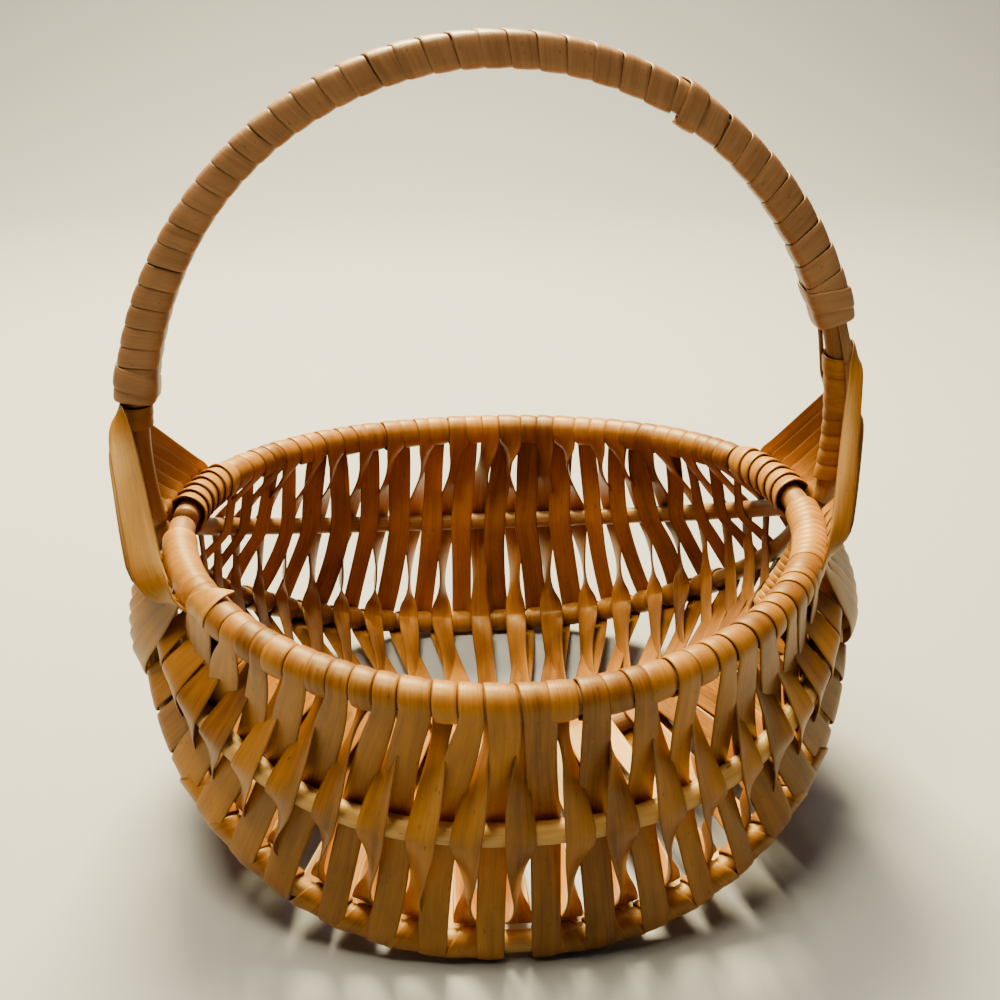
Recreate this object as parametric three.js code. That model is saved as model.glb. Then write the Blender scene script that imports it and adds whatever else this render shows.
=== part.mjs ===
// Melon basket: a rim hoop and a handle hoop crossed and lashed at two ears, four ribs, and flat
// splints woven over and under rim, ribs and keel. Millimetres, +Z up, table at z = 0, the handle in
// the XZ plane, the front of the basket towards -Y.
import * as THREE from 'three';

// Rods
const RIM_ROD_R = 4.0;
const HOOP_ROD_R = 3.7;
const RIB_ROD_R = 3.1;
const STAKE_BUTT_R = 1.6;
const STAKE_TIP_R = 0.9;
const ROD_SIDES = 8;

// Split strips
const STRIP_T = 0.8;
const WEAVER_W = 5.0;
const WEAVER_EAR_W = 3.2;
const LASHING_W = 2.6;
const BINDING_W = 7.0;

// Air left between pieces that bear on each other
const CLEARANCE = 0.3;

// Rim hoop centreline
const RIM_HALF_LENGTH = 96;
const RIM_HALF_WIDTH = 93;
const RIM_HEIGHT = 86;
const RIM_EAR_RISE = 8;
const RIM_END_GAP = 1.0;

// Handle hoop centreline: an upright ellipse
const HANDLE_HEIGHT = 231;
const HOOP_END_GAP = 1.0;

// Rib centrelines: how far past the rim they run at the middle and at the ears, how high they run, how
// far short of the ears they end and how far those ends are bent in
const UPPER_RIB_PAST_FRONT = 1;
const UPPER_RIB_PAST_EAR = 8;
const UPPER_RIB_HEIGHT = 46.5;
const LOWER_RIB_PAST_FRONT = -5;
const LOWER_RIB_PAST_EAR = 12;
const LOWER_RIB_LIFT = 0.2;
const RIB_FULLNESS = 2.2;
const RIB_TUCK = 22;
const RIB_NOSE = 8;

// Ear lashings: how far from the crossing they start, and how far up the handle's legs they end
const LASHING_TURNS = 5;
const LASHING_START = 8.5;
const LEFT_LASHING_END = 47;
const RIGHT_LASHING_END = 42;
const LASHING_GAP = 0.45;
const LASHING_BULGE = 16;

// Handle bindings: how far up the handle's legs they start, and the place of the splice along the handle
const LEFT_BINDING_START = 49;
const RIGHT_BINDING_START = 61;
const SPLICE_SHARE = 0.65;
const SPLICE_GAP = 1.0;
const LEFT_TURNS = 24;
const RIGHT_TURNS = 7;

// Handle stakes: how far they run up inside the binding, hang below it and spread there
const STAKE_REACH = 60;
const STAKE_TAIL = 26;
const STAKE_SPREAD_RUN = 5;

// Weaving: the passes from ear to ear, how much they crowd towards the ears, the splints that make them,
// the air between the ear lashings and the first pass, and half the flat that a splint makes over a rod
// as a share of its seat
const PASSES = 41;
const CROWDING = 0.08;
const WEAVERS = 9;
const WEAVE_GAP = 0.9;
const PERCH = 0.45;

// Sizes that follow from the ones above
const EAR_HEIGHT = RIM_HEIGHT + RIM_EAR_RISE;
const SEAT = CLEARANCE + STRIP_T / 2;
const UNDER = CLEARANCE + STRIP_T;
const KEEL_HEIGHT = HOOP_ROD_R + UNDER;
const UPPER_RIB_OUT = RIM_HALF_WIDTH + UPPER_RIB_PAST_FRONT;
const LOWER_RIB_OUT = RIM_HALF_WIDTH + LOWER_RIB_PAST_FRONT;
const LOWER_RIB_HEIGHT = RIB_ROD_R + UNDER + LOWER_RIB_LIFT;
const HOOP_HALF_HEIGHT = (HANDLE_HEIGHT - KEEL_HEIGHT) / 2;
const HOOP_CENTRE = KEEL_HEIGHT + HOOP_HALF_HEIGHT;
const EAR_ANGLE = Math.asin((HOOP_CENTRE - EAR_HEIGHT) / HOOP_HALF_HEIGHT);
const HOOP_HALF_WIDTH = (RIM_HALF_LENGTH + RIM_ROD_R + HOOP_ROD_R + CLEARANCE) / Math.cos(EAR_ANGLE);
const LASHING_PITCH = 2 * (LASHING_W + LASHING_GAP);
const LASHING_LAST = LASHING_START + LASHING_PITCH * (LASHING_TURNS + 0.5);
const LASHING_REACH = LASHING_START + LASHING_PITCH * LASHING_TURNS + LASHING_W;
const WEAVE_START = LASHING_REACH + WEAVER_W / 2 + WEAVE_GAP;

const COLOURS = {
  hoop: new THREE.MeshStandardMaterial({ color: 0x7a4d28, roughness: 0.6, metalness: 0 }),
  rib: new THREE.MeshStandardMaterial({ color: 0xb98f55, roughness: 0.6, metalness: 0 }),
  binding: new THREE.MeshStandardMaterial({ color: 0xa06a38, roughness: 0.5, metalness: 0 }),
  lashing: new THREE.MeshStandardMaterial({ color: 0xb07830, roughness: 0.5, metalness: 0 }),
  weaver: new THREE.MeshStandardMaterial({ color: 0xb9812f, roughness: 0.5, metalness: 0 }),
};

const UP = new THREE.Vector3(0, 0, 1);
const FRONT = new THREE.Vector3(0, -1, 0);

const vec = (x, y, z) => new THREE.Vector3(x, y, z);
const smooth = (from, to, x) => THREE.MathUtils.smoothstep(x, Math.min(from, to), Math.max(from, to));

// A curve that can be walked by distance.
function rail(pointAt) {
  const curve = new THREE.Curve();
  curve.getPoint = (t, target = new THREE.Vector3()) => target.copy(pointAt(t));
  curve.arcLengthDivisions = 400;
  return curve;
}

// The stretch of a curve between two distances from its start.
function stretch(curve, from, to) {
  const length = curve.getLength();
  return rail((t) => curve.getPointAt((from + (to - from) * t) / length));
}

// Point of the rim hoop at an angle seen from above, 0 at the right ear and half a turn at the left.
function rimPoint(angle) {
  const rise = RIM_EAR_RISE * Math.cos(angle) ** 2;
  return vec(RIM_HALF_LENGTH * Math.cos(angle), RIM_HALF_WIDTH * Math.sin(angle), RIM_HEIGHT + rise);
}

// Point of the handle hoop at an angle seen from the front, 0 at the right and a quarter turn at the top.
function hoopPoint(angle) {
  const z = HOOP_CENTRE + HOOP_HALF_HEIGHT * Math.sin(angle);
  return vec(HOOP_HALF_WIDTH * Math.cos(angle), 0, z);
}

// Point of a rib: a full half oval from ear to ear, leaning out and down from the line between the ears.
function ribPoint(t, pastEar, out, height) {
  const x = -Math.cos(Math.PI * t);
  const reach = (1 - Math.abs(x) ** RIB_FULLNESS) ** (1 / RIB_FULLNESS);
  const half = RIM_HALF_LENGTH + pastEar - RIB_NOSE * (1 - reach) ** 3;
  return vec(half * x, out * reach, EAR_HEIGHT + (height - EAR_HEIGHT) * reach);
}
const upperRib = (side) => (t) => ribPoint(t, UPPER_RIB_PAST_EAR, side * UPPER_RIB_OUT, UPPER_RIB_HEIGHT);
const lowerRib = (side) => (t) => ribPoint(t, LOWER_RIB_PAST_EAR, side * LOWER_RIB_OUT, LOWER_RIB_HEIGHT);

// The seven rails that the weavers cross, from the front rim under the bowl to the back rim. Each
// runs from the left ear to the right ear.
const RAILS = [
  { curve: rail((t) => rimPoint(Math.PI * (1 + t))), radius: RIM_ROD_R },
  { curve: rail(upperRib(-1)), radius: RIB_ROD_R },
  { curve: rail(lowerRib(-1)), radius: RIB_ROD_R },
  {
    curve: rail((t) => hoopPoint(Math.PI + EAR_ANGLE + (Math.PI - 2 * EAR_ANGLE) * t)),
    radius: HOOP_ROD_R,
  },
  { curve: rail(lowerRib(1)), radius: RIB_ROD_R },
  { curve: rail(upperRib(1)), radius: RIB_ROD_R },
  { curve: rail((t) => rimPoint(Math.PI * (1 - t))), radius: RIM_ROD_R },
];
const FRONT_RIM = 0;
const BACK_RIM = RAILS.length - 1;
const KEEL = BACK_RIM / 2;
const HANDLE = rail((t) => hoopPoint(Math.PI + EAR_ANGLE - (Math.PI + 2 * EAR_ANGLE) * t));

// A round rod of one thickness along a curve.
function rod(curve, radius, steps) {
  const shape = new THREE.Shape();
  shape.absarc(0, 0, radius, 0, 2 * Math.PI);
  const outline = new THREE.Shape(shape.getSpacedPoints(ROD_SIDES).slice(0, ROD_SIDES));
  return new THREE.ExtrudeGeometry(outline, { steps, bevelEnabled: false, extrudePath: curve });
}

// A closed skin over a row of rings that have the same number of points, with a flat cap at each end.
function skin(rings) {
  const sides = rings[0].length;
  const positions = rings.flat().flatMap((p) => [p.x, p.y, p.z]);
  const index = [];
  for (let i = 0; i + 1 < rings.length; i += 1) {
    for (let k = 0; k < sides; k += 1) {
      const a = i * sides + k;
      const b = i * sides + ((k + 1) % sides);
      index.push(a, b, a + sides, b, b + sides, a + sides);
    }
  }
  const last = (rings.length - 1) * sides;
  for (let k = 1; k + 1 < sides; k += 1) {
    index.push(0, k + 1, k, last, last + k, last + k + 1);
  }
  const geometry = new THREE.BufferGeometry();
  geometry.setAttribute('position', new THREE.Float32BufferAttribute(positions, 3));
  geometry.setIndex(index);
  geometry.computeVertexNormals();
  return geometry;
}

// A flat strip along a path of stations, each with its point, the direction of the strip's width and
// that width. The thickness is mitred at the bends so that it stays the same on both sides.
function strip(stations) {
  const rings = stations.map(({ point, across, width }, i) => {
    const before = stations[Math.max(i - 1, 0)].point;
    const after = stations[Math.min(i + 1, stations.length - 1)].point;
    const arriving = point.clone().sub(before).normalize();
    const leaving = after.clone().sub(point).normalize();
    const along = arriving.clone().add(leaving).normalize();
    const bend = arriving.lengthSq() * leaving.lengthSq() > 0 ? arriving.angleTo(leaving) : 0;
    const face = along.clone().cross(across).normalize();
    const half = face.multiplyScalar(STRIP_T / 2 / Math.cos(bend / 2));
    const side = across.clone().multiplyScalar(width / 2);
    const corner = (s, h) => point.clone().addScaledVector(side, s).addScaledVector(half, h);
    return [corner(-1, -1), corner(1, -1), corner(1, 1), corner(-1, 1)];
  });
  return skin(rings);
}

// Least clear distance of a wound strip to its own other turns, measured on its stations.
function leastGap(stations, perTurn) {
  let least = Infinity;
  const skip = Math.ceil(perTurn * 0.6);
  for (let i = 0; i < stations.length; i += 1) {
    for (let k = i + skip; k < stations.length; k += 1) {
      const apart = stations[k].point.clone().sub(stations[i].point);
      const sideways = Math.abs(apart.dot(stations[i].across));
      const facing = Math.sqrt(Math.max(apart.lengthSq() - sideways ** 2, 0));
      least = Math.min(least, Math.max(sideways - stations[i].width, facing - STRIP_T));
    }
  }
  return least;
}

// Point and direction of a rail at a part of its woven length, which leaves the same stretch free
// beside each ear on every rail.
function woven(k, part) {
  const { curve } = RAILS[k];
  const length = curve.getLength();
  const share = (WEAVE_START + part * (length - 2 * WEAVE_START)) / length;
  return { here: curve.getPointAt(share), along: curve.getTangentAt(share) };
}

// Where a pass of the weaver crosses a rail: the rail's point, its direction, the outward direction
// and the direction from front to back.
function crossing(k, part) {
  const { here, along } = woven(k, part);
  const before = woven(k - 1, part).here.sub(here).normalize();
  const after = woven(k + 1, part).here.sub(here).normalize();
  const onward = after.sub(before);
  onward.addScaledVector(along, -onward.dot(along)).normalize();
  return { here, along, outward: onward.clone().cross(along), onward };
}

// Width of the weavers: split narrower for the crowded passes beside the ears.
function weaverWidth(part) {
  return THREE.MathUtils.lerp(WEAVER_W, WEAVER_EAR_W, smooth(0.2, 0.45, Math.abs(part - 0.5)));
}

// Two stations over one side of a rib, just far enough apart for the strip to clear the round rod.
function overRib(k, part, side) {
  const { here, along, outward, onward } = crossing(k, part);
  const seat = RAILS[k].radius + SEAT;
  const middle = here.clone().addScaledVector(outward, side * seat);
  return [-PERCH, PERCH].map((step) => ({
    point: middle.clone().addScaledVector(onward, step * seat),
    across: along,
    width: weaverWidth(part),
  }));
}

// Stations over the top of the rim from the outside to the inside, given as eighths of a turn, moving
// along the rim from one pass to another.
function overRim(k, fromPart, toPart, eighths) {
  const seat = (RAILS[k].radius + SEAT) / Math.cos(Math.PI / 8);
  return eighths.map((eighth, i) => {
    const part = THREE.MathUtils.lerp(fromPart, toPart, i / (eighths.length - 1));
    const { here, along } = woven(k, part);
    const outward = along.clone().cross(UP).normalize();
    if (k === BACK_RIM) outward.negate();
    const turn = (eighth * Math.PI) / 4;
    const point = here.clone().addScaledVector(outward, seat * Math.cos(turn));
    point.addScaledVector(UP, seat * Math.sin(turn));
    return { point, across: along, width: weaverWidth(part) };
  });
}
const RIM_TURN = [-0.5, 0.5, 1.5, 2.5, 3.5, 4.5];
const RIM_HOOK = [-0.5, 0.5, 1.5, 2.5];

// Parts of the woven length at which the passes lie, closer together towards the ears.
function passParts() {
  const parts = [];
  for (let j = 0; j < PASSES; j += 1) {
    const aside = j / (PASSES - 1) - 0.5;
    parts.push(0.5 + aside * (1 + CROWDING) - 4 * CROWDING * aside ** 3);
  }
  return parts;
}

// One splint: several passes under the bowl joined by turns over the rim. An outer pass lies outside
// the rims and lower ribs and above the keel, and runs from front to back. An inner pass lies the other
// way and runs back again. The middle pass of the basket is an inner one, below the keel.
function weaver(parts, first, count) {
  const middle = (parts.length - 1) / 2;
  const isOuter = (j) => Math.abs(j - middle) % 2 === 1;
  const stations = [];
  for (let j = first; j < first + count; j += 1) {
    const outer = isOuter(j);
    const order = outer ? [1, 2, 3, 4, 5] : [5, 4, 3, 2, 1];
    const startRim = outer ? FRONT_RIM : BACK_RIM;
    const endRim = outer ? BACK_RIM : FRONT_RIM;
    const fromInside = (eighths) => eighths.map((e) => 4 - e);
    if (j === first) {
      const hook = outer ? RIM_HOOK : fromInside(RIM_HOOK);
      stations.push(...overRim(startRim, parts[j], parts[j], hook).reverse());
    }
    for (const k of order) {
      const side = (k % 2 === 0) === outer ? 1 : -1;
      const pair = overRib(k, parts[j], side);
      stations.push(...(outer ? pair : pair.reverse()));
    }
    const lastPass = j === first + count - 1;
    const path = lastPass ? RIM_HOOK : RIM_TURN;
    const next = lastPass ? parts[j] : parts[j + 1];
    stations.push(...overRim(endRim, parts[j], next, outer ? path : fromInside(path)));
  }
  return strip(stations);
}

// Corners of the six-sided turn of a lashing round an arm, in sixths of a turn from the outside.
const FULL_WRAP = [-0.5, 0.5, 1.5, 2.5, 3.5, 4.5, 5.5, 6.5];
const OUTSIDE_ONLY = [-0.5, 0.5];

// The four arms of an ear crossing. Each gives, after a number of turns of the lashing, the rod's point,
// the direction away from the crossing and the direction out of the basket. The right ear mirrors the left.
function earArms(side) {
  const mirror = (v) => vec(-side * v.x, v.y, v.z);
  const arm = (curve, radius, sideways, bulge, end = LASHING_LAST) => ({
    radius,
    bulge,
    turnTo: sideways,
    at(turns) {
      const part = turns / (LASHING_TURNS + 0.5);
      const share = THREE.MathUtils.lerp(LASHING_START, end, part) / curve.getLength();
      const here = mirror(curve.getPointAt(share));
      const away = mirror(curve.getTangentAt(share));
      const level = Math.abs(away.z) > 0.6 ? vec(0, 1, 0) : UP;
      const outward = level.clone().cross(away).normalize();
      if (outward.x * side < 0) outward.negate();
      return { here, away, outward };
    },
  });
  const back = vec(0, 1, 0);
  const down = vec(0, 0, -1);
  return [
    arm(HANDLE, HOOP_ROD_R, FRONT, 0, side < 0 ? LEFT_LASHING_END : RIGHT_LASHING_END),
    arm(RAILS[FRONT_RIM].curve, RIM_ROD_R, down, LASHING_BULGE),
    arm(RAILS[KEEL].curve, HOOP_ROD_R, back, LASHING_BULGE),
    arm(RAILS[BACK_RIM].curve, RIM_ROD_R, UP, 0),
  ];
}

// Stations of the lashing at an arm after a number of turns. A full turn comes over the outside, goes
// round behind and leaves over the outside again one strip further along.
function wrapArm(arm, turns, sixths) {
  const seat = (arm.radius + SEAT) / Math.cos(Math.PI / 6);
  const steps = FULL_WRAP.length - 1;
  return sixths.map((sixth, i) => {
    const spot = arm.at(turns + 0.5 * smooth(1, steps - 1, i));
    const aside = spot.away.clone().cross(spot.outward).normalize();
    if (aside.dot(arm.turnTo) < 0) aside.negate();
    const turn = (sixth * Math.PI) / 3;
    const point = spot.here.clone().addScaledVector(spot.outward, seat * Math.cos(turn));
    point.addScaledVector(aside, seat * Math.sin(turn));
    return { point, across: spot.away, width: LASHING_W };
  });
}

// Stations between two arms where the strip bulges out.
function lashingQuarter(from, to, bulge) {
  return [0.25, 0.5, 0.75].map((t) => {
    const point = from.point.clone().lerp(to.point, t);
    point.x += bulge * Math.sin(Math.PI * t);
    const across = from.across.clone().lerp(to.across, t).normalize();
    return { point, across, width: LASHING_W };
  });
}

// Ear lashing: one strip spiralling from arm to arm, a full turn round each, with the two lower
// quarters bulging out over the rib ends. The left handle leg is only crossed on the outside until the
// last turn.
function earLashing(name, side) {
  const arms = earArms(side);
  const stations = [];
  const last = LASHING_TURNS * arms.length;
  for (let step = 0; step <= last; step += 1) {
    const crossed = side < 0 && step % arms.length === 0 && step < last;
    const turns = step / arms.length;
    const wrap = wrapArm(arms[step % arms.length], turns, crossed ? OUTSIDE_ONLY : FULL_WRAP);
    const previous = stations[stations.length - 1];
    const distance = LASHING_START + LASHING_PITCH * turns;
    const bulge = arms[(step + arms.length - 1) % arms.length].bulge * Math.sqrt(distance / LASHING_REACH);
    if (previous && bulge > 0) stations.push(...lashingQuarter(previous, wrap[0], side * bulge));
    stations.push(...wrap);
  }
  const gap = leastGap(stations, FULL_WRAP.length);
  console.log(`${name}: least gap of the strip to itself ${gap.toFixed(2)} mm`);
  return strip(stations);
}

// Frame of the handle at a share of its length from the left ear: point, outward and front direction.
function handleFrame(share) {
  const along = HANDLE.getTangentAt(share);
  return { here: HANDLE.getPointAt(share), along, outward: FRONT.clone().cross(along) };
}

// Shares of the handle's length from the left ear at which its bindings begin and end.
const HANDLE_LENGTH = HANDLE.getLength();
const LEFT_END = LEFT_BINDING_START / HANDLE_LENGTH;
const RIGHT_END = 1 - RIGHT_BINDING_START / HANDLE_LENGTH;

// The stakes beside the hoop, one inside the left binding and two at the right foot. Each has its place
// round the hoop, counted from outward towards the front, and tapers up the handle to its tip.
const STAKE_RUN = STAKE_REACH / HANDLE_LENGTH;
const STAKE_FOOT = RIGHT_END + STAKE_TAIL / HANDLE_LENGTH;
const STAKES = [
  { name: 'handle_stake_left', butt: LEFT_END, tip: LEFT_END + STAKE_RUN, turn: Math.PI * 0.75 },
  { name: 'handle_stake_right_inner', butt: STAKE_FOOT, tip: RIGHT_END - STAKE_RUN, turn: Math.PI * 1.2 },
  { name: 'handle_stake_right_outer', butt: STAKE_FOOT, tip: RIGHT_END - STAKE_RUN, turn: Math.PI * 0.35 },
];

// Place and thickness of a stake beside the hoop. Below the right binding it stands off for the lashing.
function stakeSpot(stake, share) {
  const taper = THREE.MathUtils.clamp((share - stake.butt) / (stake.tip - stake.butt), 0, 1);
  const radius = THREE.MathUtils.lerp(STAKE_BUTT_R, STAKE_TIP_R, taper);
  const wrapped = (HOOP_ROD_R + UNDER) / Math.cos(Math.PI / 6) - HOOP_ROD_R;
  const spread = smooth(RIGHT_END, RIGHT_END + STAKE_SPREAD_RUN / HANDLE_LENGTH, share);
  const offset = HOOP_ROD_R + CLEARANCE + radius + wrapped * spread;
  return { out: offset * Math.cos(stake.turn), front: offset * Math.sin(stake.turn), radius };
}

// A stake: a tapering rod that keeps its place beside the hoop.
function handleStake(stake) {
  const steps = 16;
  const from = Math.min(stake.butt, stake.tip);
  const to = Math.max(stake.butt, stake.tip);
  const rings = [];
  for (let i = 0; i <= steps; i += 1) {
    const share = THREE.MathUtils.lerp(from, to, i / steps);
    const { here, outward } = handleFrame(share);
    const spot = stakeSpot(stake, share);
    const centre = here.addScaledVector(outward, spot.out).addScaledVector(FRONT, spot.front);
    const ring = [];
    for (let k = 0; k < ROD_SIDES; k += 1) {
      const turn = (2 * Math.PI * k) / ROD_SIDES;
      const point = centre.clone().addScaledVector(outward, spot.radius * Math.cos(turn));
      ring.push(point.addScaledVector(FRONT, spot.radius * Math.sin(turn)));
    }
    rings.push(ring);
  }
  return skin(rings);
}

// How far the bundle of hoop and stakes reaches in a direction round the handle, with the strip's seat.
function bundleReach(share, turn) {
  const margin = BINDING_W / HANDLE_LENGTH;
  const beside = ({ butt, tip }) =>
    share > Math.min(butt, tip) - margin && share < Math.max(butt, tip) + margin;
  const rods = STAKES.filter(beside).map((stake) => stakeSpot(stake, share));
  rods.push({ out: 0, front: 0, radius: HOOP_ROD_R });
  const reach = (r) => r.out * Math.cos(turn) + r.front * Math.sin(turn) + r.radius;
  return Math.max(...rods.map(reach)) + SEAT;
}

// Corner of the taut strip round the bundle between two directions an eighth of a turn apart.
function bundleCorner(share, turn) {
  const step = Math.PI / 4;
  const before = bundleReach(share, turn - step / 2);
  const after = bundleReach(share, turn + step / 2);
  const aside = (after - before) / (2 * Math.sin(step / 2));
  const out = (after + before) / (2 * Math.cos(step / 2));
  return {
    out: out * Math.cos(turn) - aside * Math.sin(turn),
    front: out * Math.sin(turn) + aside * Math.cos(turn),
  };
}

// Handle binding: one strip wound round the bundle in taut eight-sided turns.
function handleBinding(name, fromShare, toShare, turns) {
  const perTurn = 8;
  const stations = [];
  const count = Math.round(turns * perTurn);
  const inset = BINDING_W / 2 / HANDLE_LENGTH;
  for (let i = 0; i <= count; i += 1) {
    const share = THREE.MathUtils.lerp(fromShare + inset, toShare - inset, i / count);
    const { here, along, outward } = handleFrame(share);
    const corner = bundleCorner(share, (2 * Math.PI * i) / perTurn);
    const point = here.addScaledVector(outward, corner.out).addScaledVector(FRONT, corner.front);
    stations.push({ point, across: along, width: BINDING_W });
  }
  const gap = leastGap(stations, perTurn);
  console.log(`${name}: least gap of the strip to itself ${gap.toFixed(2)} mm`);
  return strip(stations);
}

// The whole basket
const basket = new THREE.Group();
basket.name = 'melon_basket';
function add(name, geometry, material) {
  const mesh = new THREE.Mesh(geometry, material);
  mesh.name = name;
  basket.add(mesh);
}

function addHoops() {
  const rim = rail((t) => rimPoint(Math.PI * (1 + 2 * t)));
  const rimEnd = RIM_END_GAP / 2;
  add('rim_hoop', rod(stretch(rim, rimEnd, rim.getLength() - rimEnd), RIM_ROD_R, 56), COLOURS.hoop);
  const hoop = rail((t) => hoopPoint(Math.PI * (0.5 + 2 * t)));
  const hoopEnd = HOOP_END_GAP / 2;
  add('handle_hoop', rod(stretch(hoop, hoopEnd, hoop.getLength() - hoopEnd), HOOP_ROD_R, 60), COLOURS.hoop);
}

function addRibs() {
  const names = ['', 'rib_upper_front', 'rib_lower_front', '', 'rib_lower_back', 'rib_upper_back'];
  names.forEach((name, k) => {
    if (!name) return;
    const curve = RAILS[k].curve;
    const piece = stretch(curve, RIB_TUCK, curve.getLength() - RIB_TUCK);
    add(name, rod(piece, RIB_ROD_R, 32), COLOURS.rib);
  });
}

function addHandle() {
  for (const stake of STAKES) add(stake.name, handleStake(stake), COLOURS.hoop);
  const halfGap = SPLICE_GAP / 2 / HANDLE_LENGTH;
  const left = handleBinding('handle_binding_left', LEFT_END, SPLICE_SHARE - halfGap, LEFT_TURNS);
  add('handle_binding_left', left, COLOURS.binding);
  const right = handleBinding('handle_binding_right', SPLICE_SHARE + halfGap, RIGHT_END, RIGHT_TURNS);
  add('handle_binding_right', right, COLOURS.binding);
}

function addLashings() {
  add('ear_lashing_left', earLashing('ear_lashing_left', -1), COLOURS.lashing);
  add('ear_lashing_right', earLashing('ear_lashing_right', 1), COLOURS.lashing);
}

function addWeavers() {
  const parts = passParts();
  const firstPass = (number) => Math.round(((number - 1) * PASSES) / WEAVERS);
  for (let number = 1; number <= WEAVERS; number += 1) {
    const count = firstPass(number + 1) - firstPass(number);
    add(`weaver_${number}`, weaver(parts, firstPass(number), count), COLOURS.weaver);
  }
}

addHoops();
addRibs();
addHandle();
addLashings();
addWeavers();

export default basket;
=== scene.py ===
import math

import bpy
import numpy as np
from bpy.props import FloatProperty, FloatVectorProperty, IntProperty, PointerProperty
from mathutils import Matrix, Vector


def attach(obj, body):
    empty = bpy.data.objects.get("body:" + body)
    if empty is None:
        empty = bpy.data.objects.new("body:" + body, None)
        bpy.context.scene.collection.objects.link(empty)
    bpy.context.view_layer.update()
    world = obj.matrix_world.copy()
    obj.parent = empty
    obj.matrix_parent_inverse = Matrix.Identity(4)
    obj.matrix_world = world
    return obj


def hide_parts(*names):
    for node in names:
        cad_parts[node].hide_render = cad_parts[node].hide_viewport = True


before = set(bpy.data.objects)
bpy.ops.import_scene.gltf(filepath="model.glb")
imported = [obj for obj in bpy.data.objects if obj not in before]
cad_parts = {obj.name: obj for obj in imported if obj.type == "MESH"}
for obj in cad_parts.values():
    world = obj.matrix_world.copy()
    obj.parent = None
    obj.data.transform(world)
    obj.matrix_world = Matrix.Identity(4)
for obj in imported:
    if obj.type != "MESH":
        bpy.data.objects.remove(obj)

bl_info = {
    "name": "Melon Basket",
    "version": (1, 0, 0),
    "blender": (4, 5, 0),
    "location": "3D Viewport > Sidebar > Basket",
    "description": "Builds a melon basket of split willow on its packed solids",
    "category": "Add Mesh",
}

# Turn in degrees of an inner pass just after and just before the rods, from front rim to back rim
INNER_TWIST = ((72, 34), (50, 80), (46, 28), (28, 46), (80, 50), (34, 72))

# How far a quarter of an ear lashing stands out of the ear, backwards and up, in shares of its bulge
LEFT_LEAF_SAG = (0.20, -0.12, 0.0)
RIGHT_LEAF_SAG = (0.07, -0.12, 0.0)
UPPER_BACK_SAG = (0.0, 0.0, 0.0)
LOWER_BACK_SAG = (1.10, 0.30, -0.70)
LOWER_FRONT_SAG = (1.10, -0.30, -0.70)

# Places from 0 to 1 between two arms of an ear where the lashing has its stations
QUARTER_PLACES = (0.15, 0.4, 0.65, 0.88)

# Pointed end in the left ear: sixths of a turn round the rim, lift in thicknesses and share of the width
TAIL = (
    (-1.2, 1.6, 0.9),
    (-0.4, 1.8, 1.0),
    (0.4, 2.0, 1.0),
    (1.1, 2.2, 0.85),
    (1.7, 3.2, 0.5),
    (2.2, 4.6, 0.06),
)

# Knots where a binding crosses other turns: turns made, distance along the handle and lift
LEFT_FOOT_KNOTS = ((0.0, 0.010, 0.0006), (1.0, 0.003, 0.0004))
SPLICE_KNOTS = ((0.0, -0.006, 0.0010), (0.8, -0.001, 0.0012))
RIGHT_FOOT_KNOTS = ((1.0, -0.003, 0.0003), (2.0, -0.012, 0.0008))

# Width of a turn against the room it has, so that neighbours lap a little
LASHING_LAP = 1.02
BINDING_LAP = 1.01

# Rails of the bowl, counted from the front rim to the back rim
FRONT_RIM = 0
KEEL = 3
BACK_RIM = 6
LOWER_RIBS = (2, 4)
RIBS = {1: "rib_upper_front", 2: "rib_lower_front", 4: "rib_lower_back", 5: "rib_upper_back"}

# Distances from the middle of the weave, in shares of its length, between which the passes draw close
DRAWING_CLOSE = (0.22, 0.46)

# Roundness of a strip's section across its width and through its thickness, and points to a ring or turn
WIDTH_ROUNDNESS = 0.35
THICKNESS_ROUNDNESS = 0.7
STRIP_SIDES = 16
ROD_SIDES = 20
STAKE_SIDES = 12
BINDING_POINTS = 24

# Grain that the peeled rods and stakes share
ROD_GRAIN = {"Fibres across": 1500.0, "Specks": 0.8, "Edge": 0.0}

# Lights of the stage: place, point aimed at, size, power and tint
BASKET_MIDDLE = (0.0, 0.0, 0.1)
LIGHTS = {
    "Key light": ((-0.10, 0.62, 1.00), BASKET_MIDDLE, 0.45, 84.0, (1.0, 0.88, 0.50)),
    "Top light": ((-0.25, -0.12, 1.30), BASKET_MIDDLE, 0.4, 24.0, (1.0, 0.90, 0.60)),
    "Backdrop light": ((0.0, 0.6, 1.6), (0.0, 1.4, 0.4), 1.2, 15.0, (1.0, 0.98, 0.97)),
}

UP = np.array([0.0, 0.0, 1.0])
FRONT = np.array([0.0, -1.0, 0.0])
BACK = -FRONT


# Properties


def length(name, description, default):
    """A length in metres."""
    return FloatProperty(name=name, description=description, default=default, unit="LENGTH", precision=5)


def share(name, description, default):
    """A plain share from 0 to 1."""
    return FloatProperty(name=name, description=description, default=default, min=0.0, max=1.0)


def number(name, description, default):
    """A plain number."""
    return FloatProperty(name=name, description=description, default=default)


def whole(name, description, default):
    """A whole number."""
    return IntProperty(name=name, description=description, default=default)


def angle(name, description, default):
    """An angle, given here in degrees."""
    value = math.radians(default)
    return FloatProperty(name=name, description=description, default=value, subtype="ANGLE")


def colour(name, description, default):
    """A scene linear colour."""
    return FloatVectorProperty(name=name, description=description, default=default, subtype="COLOR", size=3)


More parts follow.
